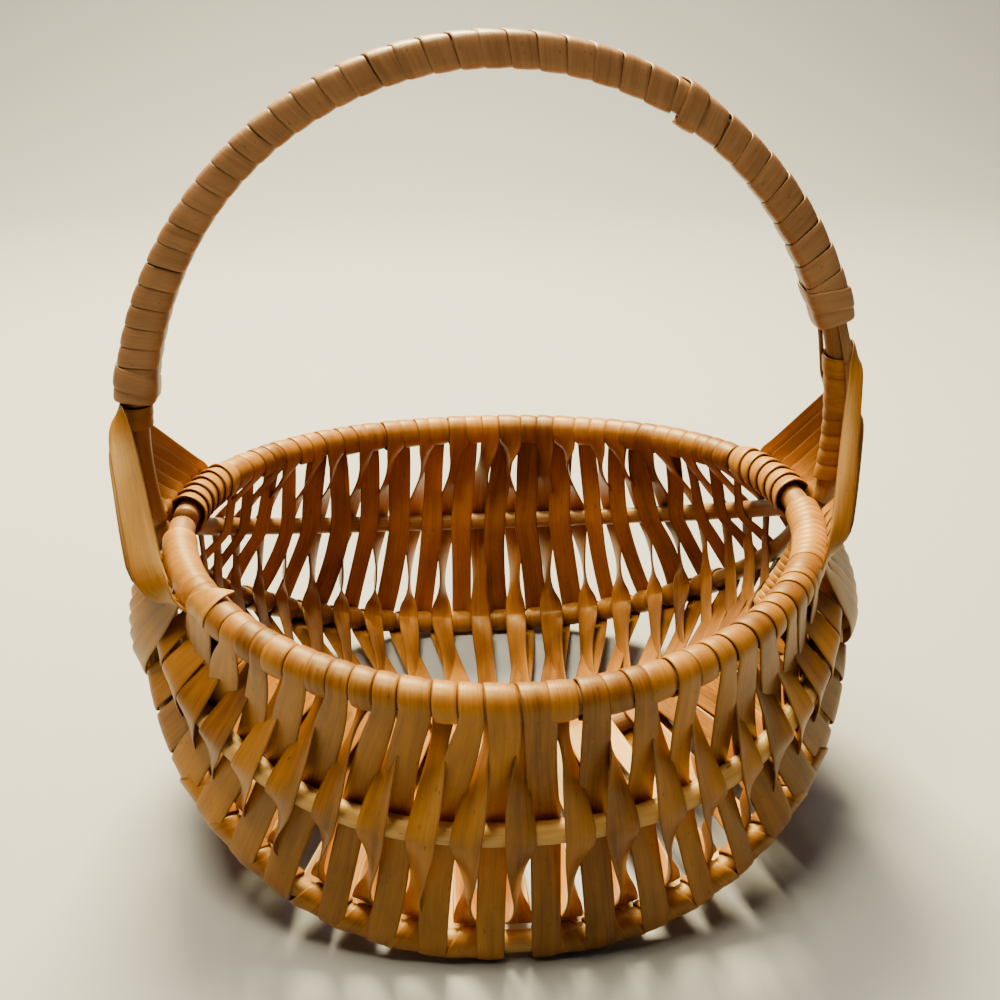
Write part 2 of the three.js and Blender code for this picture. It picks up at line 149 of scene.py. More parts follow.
class RodSizes(bpy.types.PropertyGroup):
    """Rods and their centrelines"""

    rim_rod: length("Rim rod", "Radius of the rim hoop's rod", 0.0040)
    hoop_rod: length("Hoop rod", "Radius of the handle hoop's rod", 0.0037)
    rib_rod: length("Rib rod", "Radius of the ribs", 0.0031)
    rim_half_length: length("Rim half length", "Ear to middle of the rim", 0.096)
    rim_half_width: length("Rim half width", "Middle to front of the rim", 0.093)
    rim_height: length("Rim height", "Height of the rim at the front", 0.086)
    ear_rise: length("Ear rise", "How much higher the rim is at the ears", 0.008)
    handle_height: length("Handle height", "Height of the hoop's centreline at the top", 0.231)
    keel_height: length("Keel height", "Height of the hoop's centreline at the bottom", 0.0048)
    upper_rib_out: length("Upper rib out", "How far out the upper ribs run", 0.094)
    upper_rib_height: length("Upper rib height", "Height of the upper ribs at the middle", 0.0465)
    upper_rib_half_length: length("Upper rib half length", "Half length of the upper ribs", 0.104)
    lower_rib_out: length("Lower rib out", "How far out the lower ribs run", 0.088)
    lower_rib_height: length("Lower rib height", "Height of the lower ribs at the middle", 0.0044)
    lower_rib_half_length: length("Lower rib half length", "Half length of the lower ribs", 0.108)
    rib_fullness: number("Rib fullness", "Exponent of the ribs' oval", 2.2)
    rib_nose: length("Rib nose", "How far the rib ends bend in", 0.008)
    rib_tuck: length("Rib tuck", "How far short of the ears the ribs end", 0.022)
    rim_end_gap: length("Rim end gap", "Gap between the rim hoop's cut ends in the left ear", 0.005)
    hoop_end_gap: length("Hoop end gap", "Gap between the handle hoop's cut ends inside the binding", 0.001)
    hoop_gap: length("Hoop gap", "Air between rim hoop and handle hoop where they cross", 0.0003)


class StripSizes(bpy.types.PropertyGroup):
    """Split strips"""

    thickness: length("Thickness", "Thickness of the strips", 0.0008)
    clearance: length("Clearance", "Air between a strip and its rod", 0.0003)
    weaver: length("Weaver width", "Width of the weavers at the middle of the basket", 0.0081)
    rim_wrap: length("Rim wrap width", "Widest turn of a weaver over the rim", 0.0098)
    high_panel: length("High panel", "Width of the ear lashing above the rim", 0.0062)
    low_panel: length("Low panel width", "Width of the ear lashing under the rim", 0.0088)
    left_leaf: length("Left leaf", "Width of the ear lashing in front of the left handle leg", 0.0092)
    right_leaf: length("Right leaf", "Width of the ear lashing in front of the right handle leg", 0.0058)
    tail: length("Tail", "Width of the pointed end in the left ear", 0.0105)
    knot: length("Knot width", "Width of the binding where it crosses itself", 0.0064)
    camber: length("Camber", "How much a strip arches across its width", 0.00022)


class WeaveSettings(bpy.types.PropertyGroup):
    """Weaving of the bowl"""

    passes: whole("Passes", "Passes from ear to ear, an odd number", 41)
    crowding: share("Crowding", "How much the passes crowd towards the ears", 0.08)
    weavers: whole("Weavers", "Splints that make the passes", 9)
    weave_start: length("Weave start", "Distance of the first pass from the ears", 0.0450)
    perch: share("Perch", "Half the flat over a rod as a share of its seat", 0.45)
    front_closeness: number("Front closeness", "Width beside the ears against the pitch, at the front", 1.85)
    back_closeness: number("Back closeness", "Width beside the ears against the pitch, at the back", 0.95)
    turn_inset: share("Turn inset", "Place of a pass in its band on a rim", 0.38)
    turn_lean: share("Turn lean", "Tilt of a turn over a rim, so that it lies on the turn before", 0.07)
    hook_width: number("Hook width", "Width of a splint's two ends against that of its turns", 1.2)
    outer_twist: angle("Outer twist", "Turn of the outer passes between rods", 9)
    coil: length("Coil", "How far the turns of an outer pass round a lower rib move to the ear", 0.0100)
    coil_width: share("Coil width", "Width of those turns against that of the pass", 0.8)
    wander: length("Wander", "How far the strips stray sideways", 0.0007)
    seed: whole("Seed", "Seed of the hand-made unevenness", 7)


class EarSettings(bpy.types.PropertyGroup):
    """Lashing of the two ears, with distances from the crossing in the ear"""

    lashing_turns: whole("Lashing turns", "Turns of an ear lashing", 6)
    lashing_start: length("Lashing start", "First turn on handle and keel", 0.0085)
    lashing_rim_end: length("Lashing rim end", "End of the lashing on rim and keel", 0.0430)
    lashing_bulge: length("Lashing bulge", "How far the lower quarters bulge over the rib ends", 0.016)
    left_back_start: length("Left back start", "First turn on the back rim in the left ear", 0.0045)
    right_back_start: length("Right back start", "First turn on the back rim in the right ear", 0.0022)
    left_front_start: length("Left front start", "First turn on the front rim in the left ear", 0.0085)
    right_front_start: length("Right front start", "First turn on the front rim in the right ear", 0.0012)
    left_front_end: length("Left front end", "End of the left lashing on the front rim", 0.0475)
    tail_place: length("Tail place", "Pointed end on the left front rim", 0.0530)
    tail_slant: length("Tail slant", "How far the pointed end moves along the rim in a sixth turn", 0.0016)
    leg_end: length("Leg end", "Last but one visit to a handle leg", 0.0340)
    left_leg_top: length("Left leg top", "Top of the lashing on the left handle leg", 0.0405)
    right_leg_top: length("Right leg top", "Top of the lashing on the right handle leg", 0.0510)
    left_end_turns: whole("Left end turns", "Last turns on the left leg", 2)
    right_end_turns: whole("Right end turns", "Last turns on the right leg", 3)
    turn_tilt: share("Turn tilt", "Rise of a turn of the lashing towards the ear", 0.06)
    ring_tilt: share("Ring tilt", "The same for the turns on the back rim", 0.24)
    leaf_lean: angle("Leaf lean", "Turn of the front lashing strips towards the front", 76)
    leaf_belly: number("Leaf belly", "How much further the front lashing strips hang out above the rim", 2.8)
    leaf_taper: share("Leaf taper", "How much narrower they are on the handle leg", 0.3)
    # Painted shade: lowers the lashing's tone between the arms and on the handle leg, where shade falls on it
    painted_panel_shade: share("Panel shade", "How much darker the lashing is between arms and on the handle", 0.55)


class HandleSettings(bpy.types.PropertyGroup):
    """Binding and stakes of the handle"""

    left_turns: whole("Left turns", "Turns of the left handle binding", 31)
    right_turns: whole("Right turns", "Turns of the right handle binding", 10)
    foot_pitch: share("Foot pitch", "Pitch of the binding at its foot against that at the top", 0.74)
    bundle_swell: length("Bundle swell", "How much the stakes thicken the handle at its feet", 0.0011)
    binding_squareness: number("Binding squareness", "Exponent of the binding's path round the handle", 4.5)
    binding_tilt: share("Binding tilt", "Tilt of a turn, so that it lies on the turn before", 0.05)
    left_binding: length("Left binding", "Height of the left binding's end", 0.1352)
    right_binding: length("Right binding", "Height of the right binding's end", 0.155)
    splice: share("Splice", "Place of the splice along the handle", 0.65)
    stake_butt: length("Stake butt", "Radius of a stake's thick end", 0.0016)
    stake_tip: length("Stake tip", "Radius of a stake's tip", 0.0009)
    stake_flatness: share("Stake flatness", "Thickness of a stake against its breadth", 0.45)
    stake_reach: length("Stake reach", "How far a stake runs up inside the binding", 0.060)
    left_stake_inset: length("Left stake inset", "How far inside the left binding its stake starts", 0.004)
    inner_stake_tail: length("Inner stake tail", "How far the inner right stake hangs out", 0.021)
    outer_stake_tail: length("Outer stake tail", "How far the outer right stake hangs out", 0.030)


class Finishes(bpy.types.PropertyGroup):
    """Colours of the wood"""

    hoop_light: colour("Hoop light", "Light streaks of the hoops", (0.33, 0.145, 0.052))
    hoop_dark: colour("Hoop dark", "Dark streaks of the hoops", (0.13, 0.046, 0.014))
    rib_light: colour("Rib light", "Light streaks of the ribs", (0.56, 0.31, 0.085))
    rib_dark: colour("Rib dark", "Dark streaks of the ribs", (0.20, 0.085, 0.028))
    binding_light: colour("Binding light", "Light streaks of the binding", (0.36, 0.178, 0.086))
    binding_dark: colour("Binding dark", "Dark streaks of the binding", (0.14, 0.058, 0.026))
    lashing_light: colour("Lashing light", "Light streaks of the lashing", (0.50, 0.215, 0.030))
    lashing_dark: colour("Lashing dark", "Dark streaks of the lashing", (0.20, 0.070, 0.007))
    weaver_light: colour("Weaver light", "Light streaks of the weavers", (0.41, 0.155, 0.014))
    weaver_dark: colour("Weaver dark", "Dark streaks of the weavers", (0.095, 0.022, 0.002))
    floor: colour("Floor", "Floor and backdrop", (0.340, 0.338, 0.354))


class ViewSettings(bpy.types.PropertyGroup):
    """Camera"""

    target: FloatVectorProperty(
        name="Target", description="Point the camera looks at", default=(0.00133, 0.0, 0.09874), subtype="XYZ"
    )
    distance: length("Distance", "From the target to the camera", 0.3856)
    azimuth: angle("Azimuth", "Turn of the camera round the basket", -4.32)
    elevation: angle("Elevation", "Height of the camera above the horizon", 24.68)
    lens: FloatProperty(name="Lens", description="Focal length", default=44.7, unit="CAMERA")


# Curves and surfaces


def unit(v):
    """Vectors brought to length one."""
    return v / np.maximum(np.linalg.norm(v, axis=-1, keepdims=True), 1e-12)


def across_to(v, direction):
    """The part of v at right angles to a direction, as a unit vector."""
    return unit(v - direction * np.sum(v * direction, axis=-1, keepdims=True))


def smooth(start, end, x):
    """0 before start, 1 after end, an S between them."""
    t = np.clip((x - start) / (end - start), 0.0, 1.0)
    return t * t * (3 - 2 * t)


class Rail:
    """A curve that can be walked by distance: close points and the length up to each."""

    def __init__(self, points):
        self.points = points
        steps = np.linalg.norm(np.diff(points, axis=0), axis=1)
        self.reach = np.concatenate([[0.0], np.cumsum(steps)])
        self.length = self.reach[-1]

    def at(self, distance):
        """Points at distances from the start."""
        return np.stack([np.interp(distance, self.reach, self.points[:, i]) for i in range(3)], axis=-1)

    def along(self, distance):
        """Directions at distances, from a point just behind to one just ahead."""
        step = 2e-4
        ahead = self.at(np.minimum(distance + step, self.length))
        behind = self.at(np.maximum(distance - step, 0.0))
        return unit(ahead - behind)


class Skeleton:
    """The centrelines of rim, hoop and ribs. The rim is a level oval whose height rises with the square
    of the cosine towards the ears. The hoop is an upright ellipse. A rib is a half superellipse that
    leans out and down from the line between the ears."""

    def __init__(self, rods):
        t = np.linspace(0.0, 1.0, 4001)
        self.rods = rods
        self.ear_height = rods.rim_height + rods.ear_rise
        self.half_height = (rods.handle_height - rods.keel_height) / 2
        self.centre = rods.keel_height + self.half_height
        ear_angle = math.asin((self.centre - self.ear_height) / self.half_height)
        beside = rods.rim_half_length + rods.rim_rod + rods.hoop_rod + rods.hoop_gap
        self.half_width = beside / math.cos(ear_angle)
        keel = Rail(self.hoop(math.pi + ear_angle + (math.pi - 2 * ear_angle) * t))
        upper = (rods.upper_rib_half_length, rods.upper_rib_out, rods.upper_rib_height)
        lower = (rods.lower_rib_half_length, rods.lower_rib_out, rods.lower_rib_height)
        self.rails = [
            Rail(self.rim(math.pi * (1 + t))),
            Rail(self.rib(t, -1, *upper)),
            Rail(self.rib(t, -1, *lower)),
            keel,
            Rail(self.rib(t, 1, *lower)),
            Rail(self.rib(t, 1, *upper)),
            Rail(self.rim(math.pi * (1 - t))),
        ]
        rib = rods.rib_rod
        self.radii = [rods.rim_rod, rib, rib, rods.hoop_rod, rib, rib, rods.rim_rod]
        self.handle = Rail(self.hoop(math.pi + ear_angle - (math.pi + 2 * ear_angle) * t))
        self.rim_loop = Rail(self.rim(math.pi * (1 + 2 * t)))
        self.hoop_loop = Rail(self.hoop(math.pi * (0.5 + 2 * t)))

    def rim(self, turn):
        """Points of the rim after a turn about the upright axis."""
        x = self.rods.rim_half_length * np.cos(turn)
        y = self.rods.rim_half_width * np.sin(turn)
        return np.stack([x, y, self.rods.rim_height + self.rods.ear_rise * np.cos(turn) ** 2], axis=-1)

    def hoop(self, turn):
        """Points of the hoop after a turn about the axis from front to back."""
        z = self.centre + self.half_height * np.sin(turn)
        return np.stack([self.half_width * np.cos(turn), 0 * turn, z], axis=-1)

    def rib(self, t, side, half_length, out, height):
        """Points of a rib, its share of the way out by a superellipse, its ends bent in by a cube."""
        x = -np.cos(math.pi * t)
        power = self.rods.rib_fullness
        reach = np.maximum(1 - np.abs(x) ** power, 0.0) ** (1 / power)
        half = half_length - self.rods.rib_nose * (1 - reach) ** 3
        z = self.ear_height + (height - self.ear_height) * reach
        return np.stack([half * x, side * out * reach, z], axis=-1)


# A station of a strip is a row of seven numbers: its point, the direction of its width and that width.


def stations_of(point, across, width):
    """Stations from points, directions and widths."""
    width = np.broadcast_to(np.asarray(width, dtype=float), point.shape[:-1])
    return np.concatenate([point, np.broadcast_to(across, point.shape), width[..., None]], axis=-1)


def rounded(stations, times):
    """Corner cutting: each leg between two stations keeps the points a quarter and three quarters along
    it, which turns the row into a smooth curve. The two ends stay."""
    for _ in range(times):
        a = stations[:-1]
        b = stations[1:]
        cut = np.stack([0.75 * a + 0.25 * b, 0.25 * a + 0.75 * b], axis=1)
        stations = np.concatenate([stations[:1], cut.reshape(-1, stations.shape[1]), stations[-1:]])
    return stations


def strip_rings(stations, thickness, camber):
    """Rings of a flat strip: a superellipse as wide as the station says and as thick as the strip, arched
    by the camber times one less the square of the place across, carried along the stations."""
    point = stations[:, None, :3]
    along = unit(np.gradient(stations[:, :3], axis=0))
    face = unit(np.cross(along, stations[:, 3:6]))
    across = np.cross(face, along)
    turn = np.linspace(0.0, 2 * math.pi, STRIP_SIDES, endpoint=False)
    sideways = np.sign(np.cos(turn)) * np.abs(np.cos(turn)) ** WIDTH_ROUNDNESS
    through = np.sign(np.sin(turn)) * np.abs(np.sin(turn)) ** THICKNESS_ROUNDNESS
    aside = stations[:, 6:7] / 2 * sideways
    lift = thickness / 2 * through + camber * (1 - sideways * sideways)
    return point + across[:, None, :] * aside[..., None] + face[:, None, :] * lift[:, None]


def rod_rings(rail, start, end, radius, steps, unevenness, seed):
    """Rings of a round rod along a stretch of a rail, its radius swelling by a sum of slow sines."""
    rng = np.random.default_rng(seed)
    distance = np.linspace(start, end, steps)
    along = rail.along(distance)
    level = np.where(np.abs(along[:, :1]) + np.abs(along[:, 1:2]) > 0.2, UP, BACK)
    first = across_to(level, along)
    second = np.cross(along, first)
    turn = np.linspace(0.0, 2 * math.pi, ROD_SIDES, endpoint=False)
    count = 5
    waves = rng.uniform(80, 420, count)
    swell = np.sin(distance[:, None] * waves + rng.uniform(0, 6.28, count)).sum(axis=1) / count
    size = (radius * (1 + unevenness * swell))[:, None, None]
    spoke = first[:, None] * np.cos(turn)[:, None] + second[:, None] * np.sin(turn)[:, None]
    return rail.at(distance)[:, None] + size * spoke


class Skin:
    """Gathers closed tubes, each a row of rings with a flat cap at both ends, into one mesh. The UV map
    holds metres along and round each tube, tone a value of its own for each strip, and edge how near the
    edge of the strip a point is."""

    def __init__(self):
        self.points = []
        self.faces = []
        self.uvs = []
        self.tones = []
        self.edges = []
        self.count = 0

    def add(self, rings, tone):
        """Adds a tube from its rings, with one tone or a tone for each ring."""
        rows, sides = rings.shape[:2]
        u, v = self.lengths(rings)
        self.add_wall(u, v)
        self.add_caps(u, v)
        self.points.append(rings.reshape(-1, 3))
        self.tones.append(np.full(rows * sides, tone) if np.isscalar(tone) else np.repeat(tone, sides))
        near = np.abs(np.cos(2 * math.pi * np.arange(sides) / sides)) ** WIDTH_ROUNDNESS
        self.edges.append(np.tile(near, rows))
        self.count += rows * sides

    @staticmethod
    def lengths(rings):
        """Metres along the tube's middle up to each ring, and round its middle ring up to each point."""
        steps = np.linalg.norm(np.diff(rings.mean(axis=1), axis=0), axis=1)
        middle = rings[len(rings) // 2]
        sides = np.linalg.norm(np.diff(np.concatenate([middle, middle[:1]]), axis=0), axis=1)
        return np.concatenate([[0.0], np.cumsum(steps)]), np.concatenate([[0.0], np.cumsum(sides)])

    def add_wall(self, u, v):
        """Quads between two neighbours on a ring and the same two on the next ring."""
        sides = len(v) - 1
        i = np.arange(len(u) - 1)[:, None]
        k = np.arange(sides)[None, :]
        n = (k + 1) % sides
        quads = np.stack([i * sides + k, i * sides + n, (i + 1) * sides + n, (i + 1) * sides + k], axis=-1)
        quad_u = np.stack(np.broadcast_arrays(u[i], u[i], u[i + 1], u[i + 1]), axis=-1)
        quad_u = np.broadcast_to(quad_u, quads.shape)
        quad_v = np.broadcast_to(np.stack([v[k], v[k + 1], v[k + 1], v[k]], axis=-1), quads.shape)
        self.faces += (quads.reshape(-1, 4) + self.count).tolist()
        self.uvs.append(np.stack([quad_u, quad_v], axis=-1).reshape(-1, 2))

    def add_caps(self, u, v):
        """A flat face on the first ring and one on the last."""
        sides = len(v) - 1
        start_cap = np.arange(sides)[::-1]
        end_cap = np.arange(sides) + (len(u) - 1) * sides
        self.faces += [(start_cap + self.count).tolist(), (end_cap + self.count).tolist()]
        self.uvs.append(np.stack([np.full(sides, u[0]), v[start_cap]], axis=-1))
        self.uvs.append(np.stack([np.full(sides, u[-1]), v[:-1]], axis=-1))

    def make(self, name, material):
        """Makes the object with its UV map and attributes."""
        mesh = bpy.data.meshes.new(name)
        mesh.from_pydata(np.concatenate(self.points), [], self.faces)
        layer = mesh.uv_layers.new(name="strip")
        layer.data.foreach_set("uv", np.concatenate(self.uvs).astype(np.float32).ravel())
        for label, values in (("tone", self.tones), ("edge", self.edges)):
            attribute = mesh.attributes.new(label, "FLOAT", "POINT")
            attribute.data.foreach_set("value", np.concatenate(values).astype(np.float32))
        mesh.shade_smooth()
        mesh.materials.append(material)
        if mesh.validate():
            raise RuntimeError(f"{name} has bad faces")
        piece = bpy.data.objects.new(name, mesh)
        bpy.context.scene.collection.objects.link(piece)
        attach(piece, "root")
        return piece


# Weaving


class Weave:
    """The passes of the weavers. Along a rail the passes lie evenly, crowding a little towards the ears.
    An outer pass lies outside the rims and lower ribs and above the keel, an inner pass the other way.
    Middle is 1 for passes in the middle of the basket and falls to 0 beside the ears, and open marks the
    passes that have room for a coil."""

    def __init__(self, scene):
        self.sizes = scene.basket_strips
        self.settings = scene.basket_weave
        self.skeleton = Skeleton(scene.basket_rods)
        self.rng = np.random.default_rng(self.settings.seed)
        count = self.settings.passes
        aside = np.linspace(-0.5, 0.5, count)
        crowding = self.settings.crowding
        self.parts = 0.5 + aside * (1 + crowding) - 4 * crowding * aside**3
        self.outer = np.arange(count) % 2 == 1
        self.middle = 1 - smooth(*DRAWING_CLOSE, np.abs(self.parts - 0.5))
        self.open = self.middle > 0.3
        self.seat = self.sizes.clearance + self.sizes.thickness / 2
        self.tones = self.rng.uniform(0, 1, count)
        splints = self.settings.weavers
        self.firsts = [math.floor(i * count / splints + 0.5) for i in range(splints + 1)]
        self.place_passes()
        self.find_crossings()
        self.lay_passes()

    def place_passes(self):
        """Distances of the passes along each rail, and the width that a turn over a rim has room for."""
        count = self.settings.passes
        start = self.settings.weave_start
        rails = self.skeleton.rails
        self.distance = []
        for rail in rails:
            stray = self.rng.normal(0, self.settings.wander, count) * (0.3 + 0.7 * self.middle)
            self.distance.append(start + self.parts * (rail.length - 2 * start) + stray)
        self.extra = np.zeros((len(rails), count), dtype=int)
        self.band = np.full((len(rails), count), self.sizes.rim_wrap)
        self.close_up_rim(FRONT_RIM, 0)
        self.close_up_rim(BACK_RIM, 1)

    def close_up_rim(self, k, first):
        """Moves the passes on rim k, from the first that turns back over it, so that the turns lie close
        together all along. One turn in every two takes an extra band, and so does each place where one
        splint ends and the next begins."""
        count = self.settings.passes
        groups = count // 2
        pick = self.rng.integers(0, 2, (groups + 1) // 2)
        extra = np.stack([pick, 1 - pick], axis=1).ravel()[:groups]
        ends = [j - 1 for j in self.firsts[1:-1] if (j - 1) % 2 == first]
        extra[(np.array(ends) - first) // 2] = 1
        opening = np.gradient(self.parts)[first : first + 2 * groups].reshape(groups, 2).sum(axis=1)
        opening = opening * (0.8 + 0.4 * extra)
        start = self.settings.weave_start
        woven = self.skeleton.rails[k].length - 2 * start
        pitch = 1 / (count - 1)
        low = -pitch / 2 if first == 0 else pitch / 2
        edges = np.concatenate([[0.0], np.cumsum(opening)]) / opening.sum()
        edges = start + (low + edges) * woven
        band = np.diff(edges) / (1 + extra)
        ahead = np.arange(first, first + 2 * groups, 2)
        inset = self.settings.turn_inset * band
        self.distance[k][ahead] = edges[:-1] + inset
        self.distance[k][ahead + 1] = edges[1:] - inset
        self.extra[k, ahead] = extra
        self.band[k, ahead] = band
        self.band[k, ahead + 1] = band

    def find_crossings(self):
        """At each crossing: the rail's point, its direction, the direction from front to back and the
        direction out of the basket."""
        rails = self.skeleton.rails
        self.here = np.stack([rail.at(d) for rail, d in zip(rails, self.distance)])
        self.along = np.stack([rail.along(d) for rail, d in zip(rails, self.distance)])
        ahead = unit(np.diff(self.here, axis=0))
        onward = across_to(ahead[1:] + ahead[:-1], self.along[1:-1])
        self.onward = np.concatenate([onward[:1], onward, onward[-1:]])
        self.outward = np.cross(self.onward, self.along)
        self.outward[FRONT_RIM] = unit(np.cross(self.along[FRONT_RIM], UP))
        self.outward[BACK_RIM] = -unit(np.cross(self.along[BACK_RIM], UP))

    def widths(self):
        """Widths of the passes on each rail: the splint's own in the middle of the basket. Beside the
        ears neighbours on one side of a rod nearly touch at the front and lie apart at the back."""
        uneven = self.rng.normal(1, 0.09, len(self.parts)).clip(0.8, 1.14)
        rows = []
        for k, rail in enumerate(self.skeleton.rails):
            closeness = self.settings.front_closeness if k <= KEEL else self.settings.back_closeness
            room = closeness * np.gradient(self.parts) * (rail.length - 2 * self.settings.weave_start)
            rows.append((room + (self.sizes.weaver - room) * self.middle) * uneven)
        return np.stack(rows)

    def lay_passes(self):
        """Stations of each pass from front to back: two over each rib and the keel, and two between
        neighbouring rods. In the middle of the basket an outer pass also takes two whole turns round the
        lower ribs."""
        widths = self.widths()
        coiled = self.outer & self.open
        to_ear = np.where(self.parts < 0.5, -1.0, 1.0) * self.settings.coil * coiled
        eighth = np.where(self.outer, -0.5, 4.5)
        front, back = (self.rim_point(k, eighth, self.distance[k]) for k in (FRONT_RIM, BACK_RIM))
        seats = [(front, front), *(self.seats(k, to_ear) for k in range(1, BACK_RIM)), (back, back)]
        rows = []
        in_coil = []
        for k in range(BACK_RIM):
            rod = k + 1
            rows += self.between(k, seats[k][1], seats[rod][0], widths)
            in_coil += [False, False]
            if rod < BACK_RIM:
                before, after = (stations_of(point, self.along[rod], widths[rod]) for point in seats[rod])
                turns = self.coil(rod, to_ear, widths[rod]) if rod in LOWER_RIBS else []
                rows += [before, *turns, after]
                in_coil += [False, *(True for _ in turns), False]
        plain = ~np.array(in_coil)
        self.passes = [row if has else row[plain] for row, has in zip(np.stack(rows, axis=1), coiled)]

    def seats(self, k, to_ear):
        """Two points of each pass over rail k, on the side where the pass lies. On a lower rib one is
        lifted off the coil and the other moves along with it."""
        reach = self.skeleton.radii[k] + self.seat
        side = np.where(self.outer, 1.0, -1.0)
        way = side if k % 2 == 0 else -side
        middle = self.here[k] + self.outward[k] * (way * reach)[:, None]
        step = self.onward[k] * (self.settings.perch * reach)
        pair = [middle - step, middle + step]
        if k in LOWER_RIBS:
            lift = 1.1 * self.sizes.thickness * self.open
            outside = LOWER_RIBS.index(k)
            inside = 1 - outside
            pair[outside] = pair[outside] + self.outward[k] * (way * lift)[:, None]
            pair[inside] = pair[inside] + self.along[k] * to_ear[:, None]
            pair[inside] = pair[inside] - self.outward[k] * (lift * ~self.outer)[:, None]
        return pair

    def between(self, k, leaving, arriving, widths):
        """Two stations of each pass between rail k and the next, turned about the strip's own length."""
        chord = unit(arriving - leaving)
        flat = across_to(self.along[k] + self.along[k + 1], chord)
        turned = np.cross(chord, flat)
        stray = flat * self.rng.normal(0, self.settings.wander, len(self.parts))[:, None]
        rows = []
        for part, twist in zip((0.3, 0.7), self.twists(k)):
            across = flat * np.cos(twist)[:, None] + turned * np.sin(twist)[:, None]
            point = leaving + (arriving - leaving) * part + stray
            rows.append(stations_of(point, across, widths[k] + (widths[k + 1] - widths[k]) * part))
        return rows

    def coil(self, k, to_ear, width):
        """Stations of two turns round rail k, eight to a turn, that start on the outside and move towards
        the ear each time they come over the top, or for the back rail the same backwards."""
        reach = 1.06 * (self.skeleton.radii[k] + self.seat)
        both_turns = 16.0
        rows = []
        for eighth in np.arange(0.5, both_turns):
            turn = eighth * math.pi / 4
            made = eighth if k == LOWER_RIBS[0] else both_turns - eighth
            moved = 0.5 * smooth(4.0, 8.5, made) + 0.5 * smooth(12.0, 16.5, made)
            spoke = self.outward[k] * math.cos(turn) + self.onward[k] * math.sin(turn)
            point = self.here[k] + self.along[k] * (to_ear * moved)[:, None] + reach * spoke
            rows.append(stations_of(point, self.along[k], self.settings.coil_width * width))
        return rows

    def twists(self, k):
        """Turns of the strips at two places between rail k and the next: little for outer passes, nearly
        edge on for inner passes beside the rims and lower ribs, and less near the ears."""
        side = np.where(self.parts < 0.5, 1, -1)
        outer = self.settings.outer_twist * self.rng.normal(0, 1, len(side))
        lean = self.rng.normal(1, 0.14, len(side)) * (0.08 + 0.92 * self.middle)
        return [np.where(self.outer, outer, math.radians(most) * lean) * side for most in INNER_TWIST[k]]

    def rim_point(self, k, eighth, distance):
        """Point of a turn round a rim, in eighths of a turn from the outside over the top."""
        rail = self.skeleton.rails[k]
        along = rail.along(distance)
        outward = unit(np.cross(along, UP)) * (1 if k == FRONT_RIM else -1)
        turn = np.asarray(eighth)[..., None] * math.pi / 4
        reach = (self.skeleton.radii[k] + self.seat) / math.cos(math.pi / 8)
        return rail.at(distance) + reach * (outward * np.cos(turn) + UP * np.sin(turn))

    def rim_turn(self, k, eighths, start, end, width):
        """Stations of a turn over a rim that moves along it from one distance to another. With an extra
        band most of the way is made underneath. The strip is tilted a little, so that each turn lies
        with one edge on the turn before."""
        distance = np.linspace(start, end, len(eighths))
        if len(eighths) > 8 and end != start:
            over = 0.24 * width
            places = (start, start + over, end - over, end)
            distance = np.interp(np.arange(len(eighths)), (0, 5, 8, 13), places)
        rail = self.skeleton.rails[k]
        point = self.rim_point(k, eighths, distance)
        along = rail.along(distance)
        tilt = self.settings.turn_lean * unit(point - rail.at(distance))
        return stations_of(point, along - tilt, width)

    def splint(self, first, count):
        """Stations and tones of one splint: its passes in turn, joined by turns over the rim."""
        rows = []
        tones = []
        for j in range(first, first + count):
            outer = self.outer[j]
            start_rim = FRONT_RIM if outer else BACK_RIM
            end_rim = BACK_RIM if outer else FRONT_RIM
            hook = np.arange(6.5, -1.0, -1.0) if outer else np.arange(-2.5, 5.0, 1.0)
            if j == first:
                place = self.distance[start_rim][j]
                width = np.minimum(self.settings.hook_width * self.band[start_rim, j], self.sizes.rim_wrap)
                rows.append(self.rim_turn(start_rim, hook, place, place, width))
                tones.append(np.full(len(hook), self.tones[j]))
            rows.append(self.passes[j] if outer else self.passes[j][::-1])
            tones.append(np.full(len(self.passes[j]), self.tones[j]))
            place = self.distance[end_rim][j]
            if j + 1 < first + count:
                turns = 6 + 8 * self.extra[end_rim, j]
                eighths = np.arange(turns) - 0.5 if outer else 4.5 - np.arange(turns)
                after = self.distance[end_rim][j + 1]
                width = self.band[end_rim, j]
            else:
                eighths = np.arange(-0.5, 7.0, 1.0) if outer else np.arange(4.5, -3.0, -1.0)
                after = place
                width = self.settings.hook_width * self.band[end_rim, j]
            width = np.minimum(width, self.sizes.rim_wrap)
            rows.append(self.rim_turn(end_rim, eighths, place, after, width))
            tones.append(np.full(len(eighths), self.tones[j]))
        return np.concatenate(rows), np.concatenate(tones)


def add_strip(skin, stations, sizes, times, tones, camber=None):
    """Rounds a row of stations and adds its strip to the skin, its tones rounded in the same way."""
    table = np.concatenate([stations, np.broadcast_to(tones, len(stations))[:, None]], axis=1)
    table = rounded(table, times)
    rings = strip_rings(table[:, :7], sizes.thickness, sizes.camber if camber is None else camber)
    skin.add(rings, table[:, 7])


# Ear lashings


